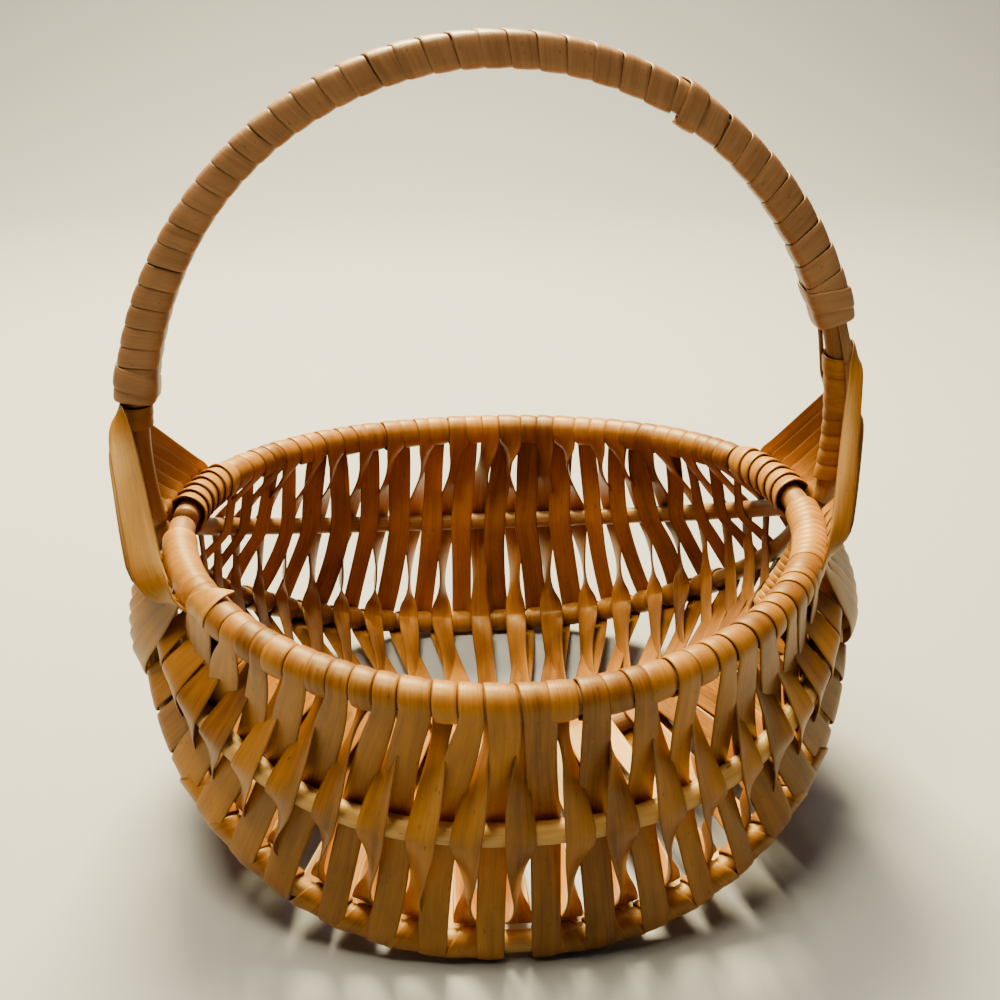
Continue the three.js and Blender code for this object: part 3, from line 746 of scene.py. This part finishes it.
class EarArm:
    """One of the four arms of an ear crossing, walked away from the crossing. The right ear mirrors the
    left. The visits of the lashing lie evenly between a first and a last distance, and each visit takes a
    number of turns round the arm, tilted so that they rise towards the crossing."""

    def __init__(self, rail, radius, side, turn_to, first, last, turns, tilt):
        self.rail = rail
        self.radius = radius
        self.side = side
        self.turn_to = turn_to
        self.first = first
        self.last = last
        self.turns = turns
        self.tilt = tilt

    def around(self, distance, sixths):
        """Points of the arm at distances from the crossing, the directions away from it, and spokes. A
        spoke points out of the basket, turned by sixths of a turn to the side that the strip goes first."""
        mirror = np.array([-self.side, 1.0, 1.0])
        here = self.rail.at(distance) * mirror
        away = self.rail.along(distance) * mirror
        level = np.where(np.abs(away[:, 2:]) > 0.6, BACK, UP)
        outward = unit(np.cross(level, away))
        outward = outward * np.where(outward[:, :1] * self.side < 0, -1, 1)
        aside = unit(np.cross(away, outward))
        aside = aside * np.where(aside @ self.turn_to < 0, -1, 1)[:, None]
        turn = sixths[:, None] * math.pi / 3
        return here, away, outward * np.cos(turn) + aside * np.sin(turn)


class EarLashing:
    """A strip that spirals from arm to arm of an ear: over the handle, the back rim, the keel and the
    front rim, with whole turns round each arm. The left handle leg is only crossed on the outside, but
    for the last visit. The two lower quarters bulge out over the rib ends by a sine."""

    def __init__(self, scene, side):
        s = scene.basket_ears
        self.sizes = scene.basket_strips
        self.settings = s
        self.side = side
        skeleton = Skeleton(scene.basket_rods)
        rails = skeleton.rails
        rim = scene.basket_rods.rim_rod
        hoop = scene.basket_rods.hoop_rod
        start = s.lashing_start
        end = s.lashing_rim_end
        left = side < 0
        self.top = s.left_leg_top if left else s.right_leg_top
        self.end_turns = s.left_end_turns if left else s.right_end_turns
        front = s.left_front_start if left else s.right_front_start
        back = s.left_back_start if left else s.right_back_start
        front_end = s.left_front_end if left else end
        leg = start + (s.leg_end - start) * (s.lashing_turns + 1) / (s.lashing_turns - 1)
        self.last = s.lashing_turns * 4
        self.arms = [
            EarArm(skeleton.handle, hoop, side, BACK, start, leg, 1, s.turn_tilt),
            EarArm(rails[BACK_RIM], rim, side, -UP, back, end, 1, s.ring_tilt),
            EarArm(rails[KEEL], hoop, side, FRONT, start, end, 2, s.turn_tilt),
            EarArm(rails[FRONT_RIM], rim, side, UP, front, front_end, 2, s.turn_tilt),
        ]
        leaf_sag = LEFT_LEAF_SAG if left else RIGHT_LEAF_SAG
        mirror = np.array([side, 1.0, 1.0])
        sags = (leaf_sag, UPPER_BACK_SAG, LOWER_BACK_SAG, LOWER_FRONT_SAG)
        self.sag = [mirror * sag * s.lashing_bulge for sag in sags]
        self.leaf = self.sizes.left_leaf if left else self.sizes.right_leaf
        high = self.sizes.high_panel
        low = self.sizes.low_panel
        self.panels = [high, high, low, low]

    def wrap(self, step):
        """Stations of the turns round an arm, in sixths of a turn from the outside. The strip leaves the
        left front rim from below. The last turns start at the top of the handle leg and wind down it."""
        arm = self.arms[step % 4]
        ending = step == self.last
        crossed = step % 4 == 0 and self.side < 0 and not ending
        turns = self.end_turns if ending else arm.turns
        under = step % 4 == 3 and self.side < 0
        sixths = np.array([-0.5, 0.5]) if crossed else np.arange(-0.5, 6 * turns + (0.0 if under else 1.0))
        band = (arm.last - arm.first) / (self.settings.lashing_turns + 1) / arm.turns
        if ending:
            band = (self.top - self.settings.leg_end) / turns
        width = band * (LASHING_LAP + arm.tilt)
        seat = self.sizes.clearance + self.sizes.thickness / 2 + 0.4 * arm.tilt * width
        reach = (arm.radius + seat) / math.cos(math.pi / 6)
        moved = band * (sixths + 0.5) / 6
        distance = self.top - moved if ending else arm.first + band * arm.turns * step / 4 + moved
        here, away, spoke = arm.around(distance, sixths)
        stations = stations_of(here + reach * spoke, away - arm.tilt * spoke, width)
        if self.last - step in (1, 5):
            stations[-2:, 6] = 0.5 * (width + self.leaf)
        return stations

    def quarter(self, leaving, arriving, step):
        """Stations between two arms. They sag outwards by a sine, the more the further they lie from the
        crossing, and the strip's face follows. The last two in the upper front quarter, the leaves, are
        broader, turn their face to the front and hang out most just above the rim."""
        t = np.array(QUARTER_PLACES)[:, None]
        point = leaving[:3] + (arriving[:3] - leaving[:3]) * t
        across = unit(leaving[3:6] + (arriving[3:6] - leaving[3:6]) * t)
        leaf = step % 4 == 0 and step >= self.last - 4
        arch = np.sin(math.pi * t) ** (0.4 if leaf else 1.0)
        growth = math.sqrt((step + 5) / (self.last + 5))
        sag = self.sag[step % 4] * arch
        point = point + sag * growth
        if leaf:
            point = point + sag * self.settings.leaf_belly * (1 - t) ** 3
            along = unit(arriving[:3] - leaving[:3])
            lean = -self.settings.leaf_lean * self.side * arch
            across = across * np.cos(lean) + np.cross(along, across) * np.sin(lean)
        else:
            across = unit(across + sag * 0.5 / growth / self.settings.lashing_rim_end)
        taper = 1 - self.settings.leaf_taper * t[:, 0] ** 2
        width = self.leaf * taper if leaf else self.panels[step % 4]
        return stations_of(point, across, width)

    def tail(self):
        """Stations of the pointed end: up the outside of the front rim, over its top and, lifting off,
        to a point inside."""
        arm = self.arms[3]
        sixths, lift, breadth = np.array(TAIL).T
        distance = self.settings.tail_place + self.settings.tail_slant * sixths
        here, away, spoke = arm.around(distance, sixths)
        reach = arm.radius + lift[:, None] * self.sizes.thickness
        return stations_of(here + reach * spoke, away, self.sizes.tail * breadth)

    def stations(self):
        """Stations of the whole strip, and at each the painted shade: how much darker it is than round the
        rim and keel.
        """
        rows = []
        painted_shades = []
        for step in range(self.last + 1):
            wrap = self.wrap(step)
            if rows:
                quarter = self.quarter(rows[-1][-1], wrap[0], step)
                rows.append(quarter)
                # Painted shade on the quarters between arms and on the wraps round the handle leg
                painted_shades.append(np.full(len(quarter), self.settings.painted_panel_shade))
            rows.append(wrap)
            painted_shades.append(np.full(len(wrap), 0.0 if step % 4 else self.settings.painted_panel_shade))
        return np.concatenate(rows), np.concatenate(painted_shades)


# Handle


class Handle:
    """The stakes beside the handle hoop and the two strips bound round hoop and stakes."""

    def __init__(self, scene):
        self.sizes = scene.basket_strips
        self.settings = scene.basket_handle
        self.skeleton = Skeleton(scene.basket_rods)
        self.rail = self.skeleton.handle
        self.hoop_radius = scene.basket_rods.hoop_rod
        ear = self.skeleton.ear_height
        s = self.settings
        self.left_end = s.left_binding - ear
        self.right_end = self.rail.length - (s.right_binding - ear)
        self.splice = s.splice * self.rail.length
        left_butt = self.left_end + s.left_stake_inset
        left_tip = self.left_end + s.stake_reach
        inner_butt = self.right_end + s.inner_stake_tail
        outer_butt = self.right_end + s.outer_stake_tail
        right_tip = self.right_end - s.stake_reach
        # Butt, tip, turn about the hoop and breadth of each stake
        self.stakes = {
            "handle_stake_left": (left_butt, left_tip, 0.75 * math.pi, 1.0),
            "handle_stake_right_inner": (inner_butt, right_tip, 1.2 * math.pi, 0.8),
            "handle_stake_right_outer": (outer_butt, right_tip, 0.42 * math.pi, 1.15),
        }

    def stake_rings(self, name):
        """Rings of a stake: a flat splint that keeps its place beside the hoop, tapers from butt to tip
        and runs out to a point at both ends. Below the right binding it stands off for the lashing."""
        butt, tip, turn, breadth = self.stakes[name]
        s = self.settings
        rows = 60
        distance = np.linspace(min(butt, tip), max(butt, tip), rows)
        here, _, outward = self.frame(distance)
        taper = (distance - butt) / (tip - butt)
        radius = s.stake_butt + (s.stake_tip - s.stake_butt) * taper
        bend_start = self.right_end - 0.004
        bend_end = self.right_end + 0.016
        spread = smooth(bend_start, bend_end, distance)
        standing = self.sizes.clearance + self.sizes.thickness
        offset = (self.hoop_radius + s.stake_flatness * radius + standing * spread)[:, None]
        pointed = smooth(0.9, 1.0, np.abs(np.linspace(-1, 1, rows)))
        radius = radius * (1 - 0.9 * pointed)
        away = outward * math.cos(turn) + FRONT * math.sin(turn)
        beside = FRONT * math.cos(turn) - outward * math.sin(turn)
        round_it = np.linspace(0, 2 * math.pi, STAKE_SIDES, endpoint=False)[:, None]
        outwards = away[:, None] * np.cos(round_it) * s.stake_flatness
        spoke = outwards + beside[:, None] * np.sin(round_it) * breadth
        return (here + away * offset)[:, None] + radius[:, None, None] * spoke

    def frame(self, distance):
        """Points of the handle at distances, and there the directions along it and out of the hoop."""
        along = self.rail.along(distance)
        return self.rail.at(distance), along, np.cross(FRONT, along)

    def binding(self, knots, seed):
        """Stations of a strip wound round hoop and stakes. Round the handle it follows a superellipse, so
        that it has four flats and four soft corners. Each knot holds the turns made, the distance along
        the handle, the lift above the bundle and the strip's width, and the strip runs evenly from knot
        to knot."""
        made, place, lift, width = np.array(knots).T
        rng = np.random.default_rng(seed)
        turned = np.arange(round(made[-1] * BINDING_POINTS) + 1) / BINDING_POINTS
        stray = 0.0002
        uneven = np.interp(turned, made, rng.normal(0, stray, len(made)))
        distance = np.interp(turned, made, place) + uneven
        foot = np.minimum(distance - self.left_end, self.right_end - distance)
        swell = self.settings.bundle_swell * (1 - smooth(0.0, 1.4 * self.settings.stake_reach, foot))
        half = self.hoop_radius + self.sizes.clearance + self.sizes.thickness / 2 + swell
        half = half + np.interp(turned, made, lift)
        angles = 2 * math.pi * turned - math.pi / 2
        power = self.settings.binding_squareness
        reach = half / (np.abs(np.cos(angles)) ** power + np.abs(np.sin(angles)) ** power) ** (1 / power)
        here, along, outward = self.frame(distance)
        radial = outward * np.cos(angles)[:, None] + FRONT * np.sin(angles)[:, None]
        point = here + radial * reach[:, None]
        across = along - self.settings.binding_tilt * radial
        return stations_of(point, across, np.interp(turned, made, width))

    def crossing(self, knots, turns, place):
        """Knots of a crossing, counted on from turns already made and laid from a place on the handle."""
        return [(turns + turn, place + away, lift, self.sizes.knot) for turn, away, lift in knots]

    def left_knots(self):
        """The left strip comes down across itself at the foot, then climbs in turns that grow wider
        towards the top, and ends under the right strip."""
        s = self.settings
        pitch = np.linspace(s.foot_pitch, 1.0, s.left_turns)
        pitch = pitch / pitch.sum() * (self.splice - self.left_end)
        middles = self.left_end + np.cumsum(pitch) - pitch / 2
        first = 1.6
        climb = [(first + i, middles[i], 0.0, BINDING_LAP * pitch[i]) for i in range(s.left_turns)]
        return [*self.crossing(LEFT_FOOT_KNOTS, 0, self.left_end), *climb]

    def right_knots(self):
        """The right strip starts slanting over the end of the left one and ends by crossing back over its
        own last turns."""
        s = self.settings
        turns = s.right_turns
        pitch = (self.right_end - self.splice) / turns
        middles = self.splice + (np.arange(turns) + 0.5) * pitch
        first = 1.4
        descent = [(first + i, middles[i], 0.0, BINDING_LAP * pitch) for i in range(turns)]
        over_left = self.crossing(SPLICE_KNOTS, 0, self.splice)
        over_itself = self.crossing(RIGHT_FOOT_KNOTS, turns, self.right_end)
        return [*over_left, *descent, *over_itself]


# Materials


def link_math(tree, operation, *values):
    """A maths node whose inputs are sockets or numbers."""
    node = tree.nodes.new("ShaderNodeMath")
    node.operation = operation
    for socket, value in zip(node.inputs, values):
        if isinstance(value, (int, float)):
            socket.default_value = value
        else:
            tree.links.new(value, socket)
    return node.outputs[0]


def stretched_noise(tree, uv, tone, along, across, detail):
    """Noise on the strip's own UV map, with its own numbers of grains per metre along and across."""
    stretch = tree.nodes.new("ShaderNodeCombineXYZ")
    tree.links.new(link_math(tree, "MULTIPLY", uv.outputs["X"], along), stretch.inputs["X"])
    tree.links.new(link_math(tree, "MULTIPLY", uv.outputs["Y"], across), stretch.inputs["Y"])
    tree.links.new(link_math(tree, "MULTIPLY", tone, 1.5), stretch.inputs["Z"])
    noise = tree.nodes.new("ShaderNodeTexNoise")
    noise.inputs["Scale"].default_value = 1.0
    noise.inputs["Detail"].default_value = detail
    noise.inputs["Roughness"].default_value = 0.6
    tree.links.new(stretch.outputs[0], noise.inputs["Vector"])
    return noise.outputs["Fac"]


def ramp_range(tree, value, low, high):
    """0 below low, 1 above high."""
    node = tree.nodes.new("ShaderNodeMapRange")
    node.inputs["From Min"].default_value = low
    node.inputs["From Max"].default_value = high
    tree.links.new(value, node.inputs["Value"])
    return node.outputs["Result"]


def mix_colour(tree, factor, first, second, blend="MIX"):
    """A mix of two colours, each a socket or a fixed colour."""
    node = tree.nodes.new("ShaderNodeMix")
    node.data_type = "RGBA"
    node.blend_type = blend
    for socket, value in ((node.inputs[0], factor), (node.inputs[6], first), (node.inputs[7], second)):
        if hasattr(value, "links"):
            tree.links.new(value, socket)
        else:
            socket.default_value = value
    return node.outputs[2]


def grain_sockets(face):
    """Named inputs and outputs of the grain."""
    for name in ("Light", "Dark"):
        face.new_socket(name, in_out="INPUT", socket_type="NodeSocketColor")
    for name, value in (("Fibres across", 2600.0), ("Tone spread", 0.5), ("Specks", 0.6), ("Edge", 0.4)):
        face.new_socket(name, in_out="INPUT", socket_type="NodeSocketFloat").default_value = value
    face.new_socket("Color", in_out="OUTPUT", socket_type="NodeSocketColor")
    for name in ("Roughness", "Height"):
        face.new_socket(name, in_out="OUTPUT", socket_type="NodeSocketFloat")


def strip_place(tree):
    """Metres along and round the strip, from its UV map."""
    place = tree.nodes.new("ShaderNodeUVMap")
    place.uv_map = "strip"
    uv = tree.nodes.new("ShaderNodeSeparateXYZ")
    tree.links.new(place.outputs["UV"], uv.inputs[0])
    return uv


def carried_value(tree, name):
    """A value that the points of the mesh carry."""
    node = tree.nodes.new("ShaderNodeAttribute")
    node.attribute_name = name
    return node.outputs["Fac"]


def grain_light(tree, noises, tone, spread):
    """Share of the light colour: a sum of noises, moved by the strip's own tone."""
    light = 0.0
    for noise, amount in noises:
        light = link_math(tree, "MULTIPLY_ADD", ramp_range(tree, noise, 0.3, 0.7), amount, light)
    shift = link_math(tree, "SUBTRACT", tone, 0.4)
    return link_math(tree, "MULTIPLY_ADD", shift, spread, light)


def grain_group():
    """Grain of split wood: fine fibres and slow streaks along the strip, blotches, dark specks, and
    edges made darker. Each strip's tone moves it between the dark and the light colour."""
    group = bpy.data.node_groups.new("Splint grain", "ShaderNodeTree")
    grain_sockets(group.interface)
    given = group.nodes.new("NodeGroupInput").outputs
    result = group.nodes.new("NodeGroupOutput").inputs
    uv = strip_place(group)
    tone = carried_value(group, "tone")
    fibre = stretched_noise(group, uv, tone, 70.0, given["Fibres across"], 3.0)
    streak = stretched_noise(group, uv, tone, 22.0, 480.0, 2.0)
    blotch = stretched_noise(group, uv, tone, 60.0, 130.0, 3.0)
    speck = stretched_noise(group, uv, tone, 420.0, 1100.0, 1.0)
    noises = ((fibre, 0.30), (streak, 0.32), (blotch, 0.28))
    light = grain_light(group, noises, tone, given["Tone spread"])
    wood = mix_colour(group, light, given["Dark"], given["Light"])
    dots = link_math(group, "MULTIPLY", ramp_range(group, speck, 0.70, 0.78), given["Specks"])
    dark = mix_colour(group, 1.0, given["Dark"], (0.35, 0.3, 0.28, 1.0), "MULTIPLY")
    wood = mix_colour(group, dots, wood, dark)
    # Darker towards the edges of each strip
    border = ramp_range(group, carried_value(group, "edge"), 0.86, 1.0)
    border = link_math(group, "MULTIPLY", border, given["Edge"])
    group.links.new(mix_colour(group, border, wood, dark), result["Color"])
    group.links.new(link_math(group, "MULTIPLY_ADD", fibre, 0.3, 0.32), result["Roughness"])
    group.links.new(link_math(group, "MULTIPLY_ADD", streak, 0.8, fibre), result["Height"])
    return group


def wood_material(name, light, dark, values, coat):
    """Varnished wood: the grain group drives colour, roughness and a fine bump."""
    if name in bpy.data.materials:
        return bpy.data.materials[name]
    grain = bpy.data.node_groups.get("Splint grain") or grain_group()
    material = bpy.data.materials.new(name)
    material.use_nodes = True
    tree = material.node_tree
    shader = tree.nodes["Principled BSDF"]
    look = tree.nodes.new("ShaderNodeGroup")
    look.node_tree = grain
    look.inputs["Light"].default_value = (*light, 1.0)
    look.inputs["Dark"].default_value = (*dark, 1.0)
    for key, value in values.items():
        look.inputs[key].default_value = value
    bump = tree.nodes.new("ShaderNodeBump")
    bump.inputs["Strength"].default_value = 0.35
    bump.inputs["Distance"].default_value = 0.0002
    tree.links.new(look.outputs["Color"], shader.inputs["Base Color"])
    tree.links.new(look.outputs["Roughness"], shader.inputs["Roughness"])
    tree.links.new(look.outputs["Height"], bump.inputs["Height"])
    tree.links.new(bump.outputs["Normal"], shader.inputs["Normal"])
    shader.inputs["Specular IOR Level"].default_value = 0.5
    shader.inputs["Specular Tint"].default_value = (1.0, 0.84, 0.36, 1.0)
    shader.inputs["Coat Weight"].default_value = coat
    shader.inputs["Coat Roughness"].default_value = 0.3
    return material


def hoop_wood(scene):
    """Brown peeled rod of the two hoops."""
    f = scene.basket_finishes
    values = {**ROD_GRAIN, "Tone spread": 0.2}
    return wood_material("Peeled hoop rod", f.hoop_light, f.hoop_dark, values, 0.05)


def rib_wood(scene):
    """Pale peeled rod of the ribs, of uneven tone."""
    f = scene.basket_finishes
    values = {**ROD_GRAIN, "Tone spread": 1.0}
    return wood_material("Peeled rib rod", f.rib_light, f.rib_dark, values, 0.05)


def stake_wood(scene):
    """Stakes in the binding's colours, with the grain of a rod."""
    f = scene.basket_finishes
    values = {**ROD_GRAIN, "Tone spread": 0.2}
    return wood_material("Split stake", f.binding_light, f.binding_dark, values, 0.05)


def binding_splint(scene):
    """Brown strips round the handle."""
    f = scene.basket_finishes
    return wood_material("Binding splint", f.binding_light, f.binding_dark, {"Tone spread": 0.25}, 0.08)


def lashing_splint(scene):
    """Golden strips of the ears."""
    f = scene.basket_finishes
    return wood_material("Lashing splint", f.lashing_light, f.lashing_dark, {"Tone spread": 0.7}, 0.06)


def weaver_splint(scene):
    """Golden brown splints of the bowl, each of its own tone."""
    f = scene.basket_finishes
    return wood_material("Weaver splint", f.weaver_light, f.weaver_dark, {"Tone spread": 0.55}, 0.06)


# Operators


class BASKET_OT_hoops(bpy.types.Operator):
    """Makes the rim hoop, with its cut ends in the left ear, and the handle hoop"""

    bl_idname = "basket.hoops"
    bl_label = "Hoops"

    def execute(self, context):
        scene = context.scene
        rods = scene.basket_rods
        skeleton = Skeleton(rods)
        hoops = (
            ("rim_hoop", skeleton.rim_loop, rods.rim_rod, rods.rim_end_gap / 2),
            ("handle_hoop", skeleton.hoop_loop, rods.hoop_rod, rods.hoop_end_gap / 2),
        )
        for seed, (node, rail, radius, cut) in enumerate(hoops):
            skin = Skin()
            rings = rod_rings(rail, cut, rail.length - cut, radius, steps=320, unevenness=0.02, seed=seed)
            skin.add(rings, 0.5)
            piece = skin.make(f"{node}_rod", hoop_wood(scene))
            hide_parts(node)
        return {"FINISHED"}


class BASKET_OT_ribs(bpy.types.Operator):
    """Makes the four ribs"""

    bl_idname = "basket.ribs"
    bl_label = "Ribs"

    def execute(self, context):
        scene = context.scene
        rods = scene.basket_rods
        skeleton = Skeleton(rods)
        tones = {1: 0.7, 2: 0.5, 4: 0.1, 5: 0.0}
        start = rods.rib_tuck
        for k, node in RIBS.items():
            rail = skeleton.rails[k]
            skin = Skin()
            end = rail.length - start
            rings = rod_rings(rail, start, end, rods.rib_rod, steps=200, unevenness=0.05, seed=10 + k)
            skin.add(rings, tones[k])
            piece = skin.make(f"{node}_rod", rib_wood(scene))
            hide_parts(node)
        return {"FINISHED"}


class BASKET_OT_stakes(bpy.types.Operator):
    """Makes the three stakes beside the handle"""

    bl_idname = "basket.stakes"
    bl_label = "Handle stakes"

    def execute(self, context):
        handle = Handle(context.scene)
        for node in handle.stakes:
            skin = Skin()
            skin.add(handle.stake_rings(node), 0.3)
            piece = skin.make(f"{node}_rod", stake_wood(context.scene))
            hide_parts(node)
        return {"FINISHED"}


class BASKET_OT_bindings(bpy.types.Operator):
    """Winds the two strips round the handle"""

    bl_idname = "basket.bindings"
    bl_label = "Handle bindings"

    def execute(self, context):
        scene = context.scene
        handle = Handle(scene)
        runs = (("handle_binding_left", handle.left_knots()), ("handle_binding_right", handle.right_knots()))
        for seed, (node, knots) in enumerate(runs):
            stations = handle.binding(knots, 20 + seed)
            rng = np.random.default_rng(30 + seed)
            turns = math.ceil(knots[-1][0])
            turned = np.arange(len(stations)) / BINDING_POINTS
            tones = np.interp(turned, np.arange(turns + 1), rng.uniform(0.2, 0.8, turns + 1))
            skin = Skin()
            add_strip(skin, stations, scene.basket_strips, 1, tones)
            piece = skin.make(f"{node}_strip", binding_splint(scene))
            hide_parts(node)
        return {"FINISHED"}


class BASKET_OT_lashings(bpy.types.Operator):
    """Lashes the two ears"""

    bl_idname = "basket.lashings"
    bl_label = "Ear lashings"

    def execute(self, context):
        scene = context.scene
        for node, side in (("ear_lashing_left", -1), ("ear_lashing_right", 1)):
            lashing = EarLashing(scene, side)
            stations, painted_shades = lashing.stations()
            rng = np.random.default_rng(40 + side)
            changes = 45
            places = np.linspace(0, len(stations), changes)
            # The painted shade is taken off the random tones, so the quarters and handle wraps come out
            # darker
            tones = np.interp(np.arange(len(stations)), places, rng.uniform(0.2, 0.7, changes)) - painted_shades
            skin = Skin()
            add_strip(skin, stations, scene.basket_strips, 2, tones)
            if side < 0:
                add_strip(skin, lashing.tail(), scene.basket_strips, 2, 0.65)
            piece = skin.make(f"{node}_strip", lashing_splint(scene))
            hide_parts(node)
        return {"FINISHED"}


class BASKET_OT_weavers(bpy.types.Operator):
    """Weaves the splints over and under rim, ribs and keel"""

    bl_idname = "basket.weavers"
    bl_label = "Weavers"

    def execute(self, context):
        scene = context.scene
        weave = Weave(scene)
        for i in range(scene.basket_weave.weavers):
            first, after = weave.firsts[i : i + 2]
            stations, tones = weave.splint(first, after - first)
            skin = Skin()
            add_strip(skin, stations, scene.basket_strips, 3, tones)
            piece = skin.make(f"weaver_{i + 1}_splint", weaver_splint(scene))
            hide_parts(f"weaver_{i + 1}")
        return {"FINISHED"}


class BASKET_OT_stage(bpy.types.Operator):
    """Sets the pale floor, the soft lights and the camera"""

    bl_idname = "basket.stage"
    bl_label = "Stage"

    def execute(self, context):
        scene = context.scene
        self.floor(scene)
        for name, values in LIGHTS.items():
            self.light(scene, name, *values)
        self.world(scene)
        self.camera(scene)
        return {"FINISHED"}

    @staticmethod
    def world(scene):
        """Faint even light from all sides."""
        world = bpy.data.worlds.new("Soft room")
        world.use_nodes = True
        background = world.node_tree.nodes["Background"]
        background.inputs["Color"].default_value = (1.0, 0.98, 0.95, 1.0)
        background.inputs["Strength"].default_value = 0.04
        scene.world = world

    @staticmethod
    def floor(scene):
        """Floor that rises behind into a backdrop: level, then a quarter circle, then upright."""
        front = -3.0
        bend_start = 0.9
        radius = 0.5
        top = 3.0
        half_width = 4.0
        bend = np.linspace(0, math.pi / 2, 24)
        y = np.concatenate([[front], bend_start + radius * np.sin(bend), [bend_start + radius]])
        z = np.concatenate([[0.0], radius - radius * np.cos(bend), [top]])
        x = np.array([-half_width, half_width])
        points = np.stack([np.tile(x, len(y)), np.repeat(y, 2), np.repeat(z, 2)], axis=-1)
        i = np.arange(len(y) - 1) * 2
        faces = np.stack([i, i + 1, i + 3, i + 2], axis=-1)
        mesh = bpy.data.meshes.new("floor")
        mesh.from_pydata(points, [], faces.tolist())
        mesh.shade_smooth()
        material = bpy.data.materials.new("Pale floor")
        material.use_nodes = True
        shader = material.node_tree.nodes["Principled BSDF"]
        shader.inputs["Base Color"].default_value = (*scene.basket_finishes.floor, 1.0)
        shader.inputs["Roughness"].default_value = 0.85
        mesh.materials.append(material)
        floor = bpy.data.objects.new("floor", mesh)
        scene.collection.objects.link(floor)

    @staticmethod
    def light(scene, name, place, target, size, power, tint):
        """A square soft light aimed at a point."""
        data = bpy.data.lights.new(name, "AREA")
        data.size = size
        data.energy = power
        data.color = tint
        lamp = bpy.data.objects.new(name, data)
        lamp.location = place
        aim = Vector(target) - Vector(place)
        lamp.rotation_mode = "QUATERNION"
        lamp.rotation_quaternion = aim.to_track_quat("-Z", "Y")
        scene.collection.objects.link(lamp)

    @staticmethod
    def camera(scene):
        """Camera at a distance from the target, turned and raised round it."""
        view = scene.basket_view
        flat = math.cos(view.elevation)
        back = Vector((math.sin(view.azimuth) * flat, -math.cos(view.azimuth) * flat, 0.0))
        back.z = math.sin(view.elevation)
        data = bpy.data.cameras.new("Camera")
        data.lens = view.lens
        data.clip_start = 0.01
        camera = bpy.data.objects.new("Camera", data)
        camera.location = Vector(view.target) + back * view.distance
        camera.rotation_mode = "QUATERNION"
        camera.rotation_quaternion = (-back).to_track_quat("-Z", "Y")
        scene.collection.objects.link(camera)
        scene.camera = camera


class BASKET_PT_panel(bpy.types.Panel):
    """Buttons for the pieces of the basket"""

    bl_idname = "BASKET_PT_panel"
    bl_label = "Melon Basket"
    bl_space_type = "VIEW_3D"
    bl_region_type = "UI"
    bl_category = "Basket"

    def draw(self, context):
        for operator in OPERATORS:
            self.layout.operator(operator.bl_idname)


GROUPS = {
    "basket_rods": RodSizes,
    "basket_strips": StripSizes,
    "basket_weave": WeaveSettings,
    "basket_ears": EarSettings,
    "basket_handle": HandleSettings,
    "basket_finishes": Finishes,
    "basket_view": ViewSettings,
}
OPERATORS = (
    BASKET_OT_hoops,
    BASKET_OT_ribs,
    BASKET_OT_stakes,
    BASKET_OT_bindings,
    BASKET_OT_lashings,
    BASKET_OT_weavers,
    BASKET_OT_stage,
)


def register():
    """Registers the classes and gives every scene its settings."""
    for name, group in GROUPS.items():
        bpy.utils.register_class(group)
        setattr(bpy.types.Scene, name, PointerProperty(type=group))
    for cls in (*OPERATORS, BASKET_PT_panel):
        bpy.utils.register_class(cls)


def unregister():
    """Takes the classes and settings away again."""
    for cls in reversed((*OPERATORS, BASKET_PT_panel)):
        bpy.utils.unregister_class(cls)
    for name, group in GROUPS.items():
        delattr(bpy.types.Scene, name)
        bpy.utils.unregister_class(group)


def main():
    """Makes the basket and its stage."""
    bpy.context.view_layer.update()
    register()
    bpy.ops.basket.hoops()
    bpy.ops.basket.ribs()
    bpy.ops.basket.stakes()
    bpy.ops.basket.bindings()
    bpy.ops.basket.lashings()
    bpy.ops.basket.weavers()
    bpy.ops.basket.stage()


if __name__ == "__main__":
    main()
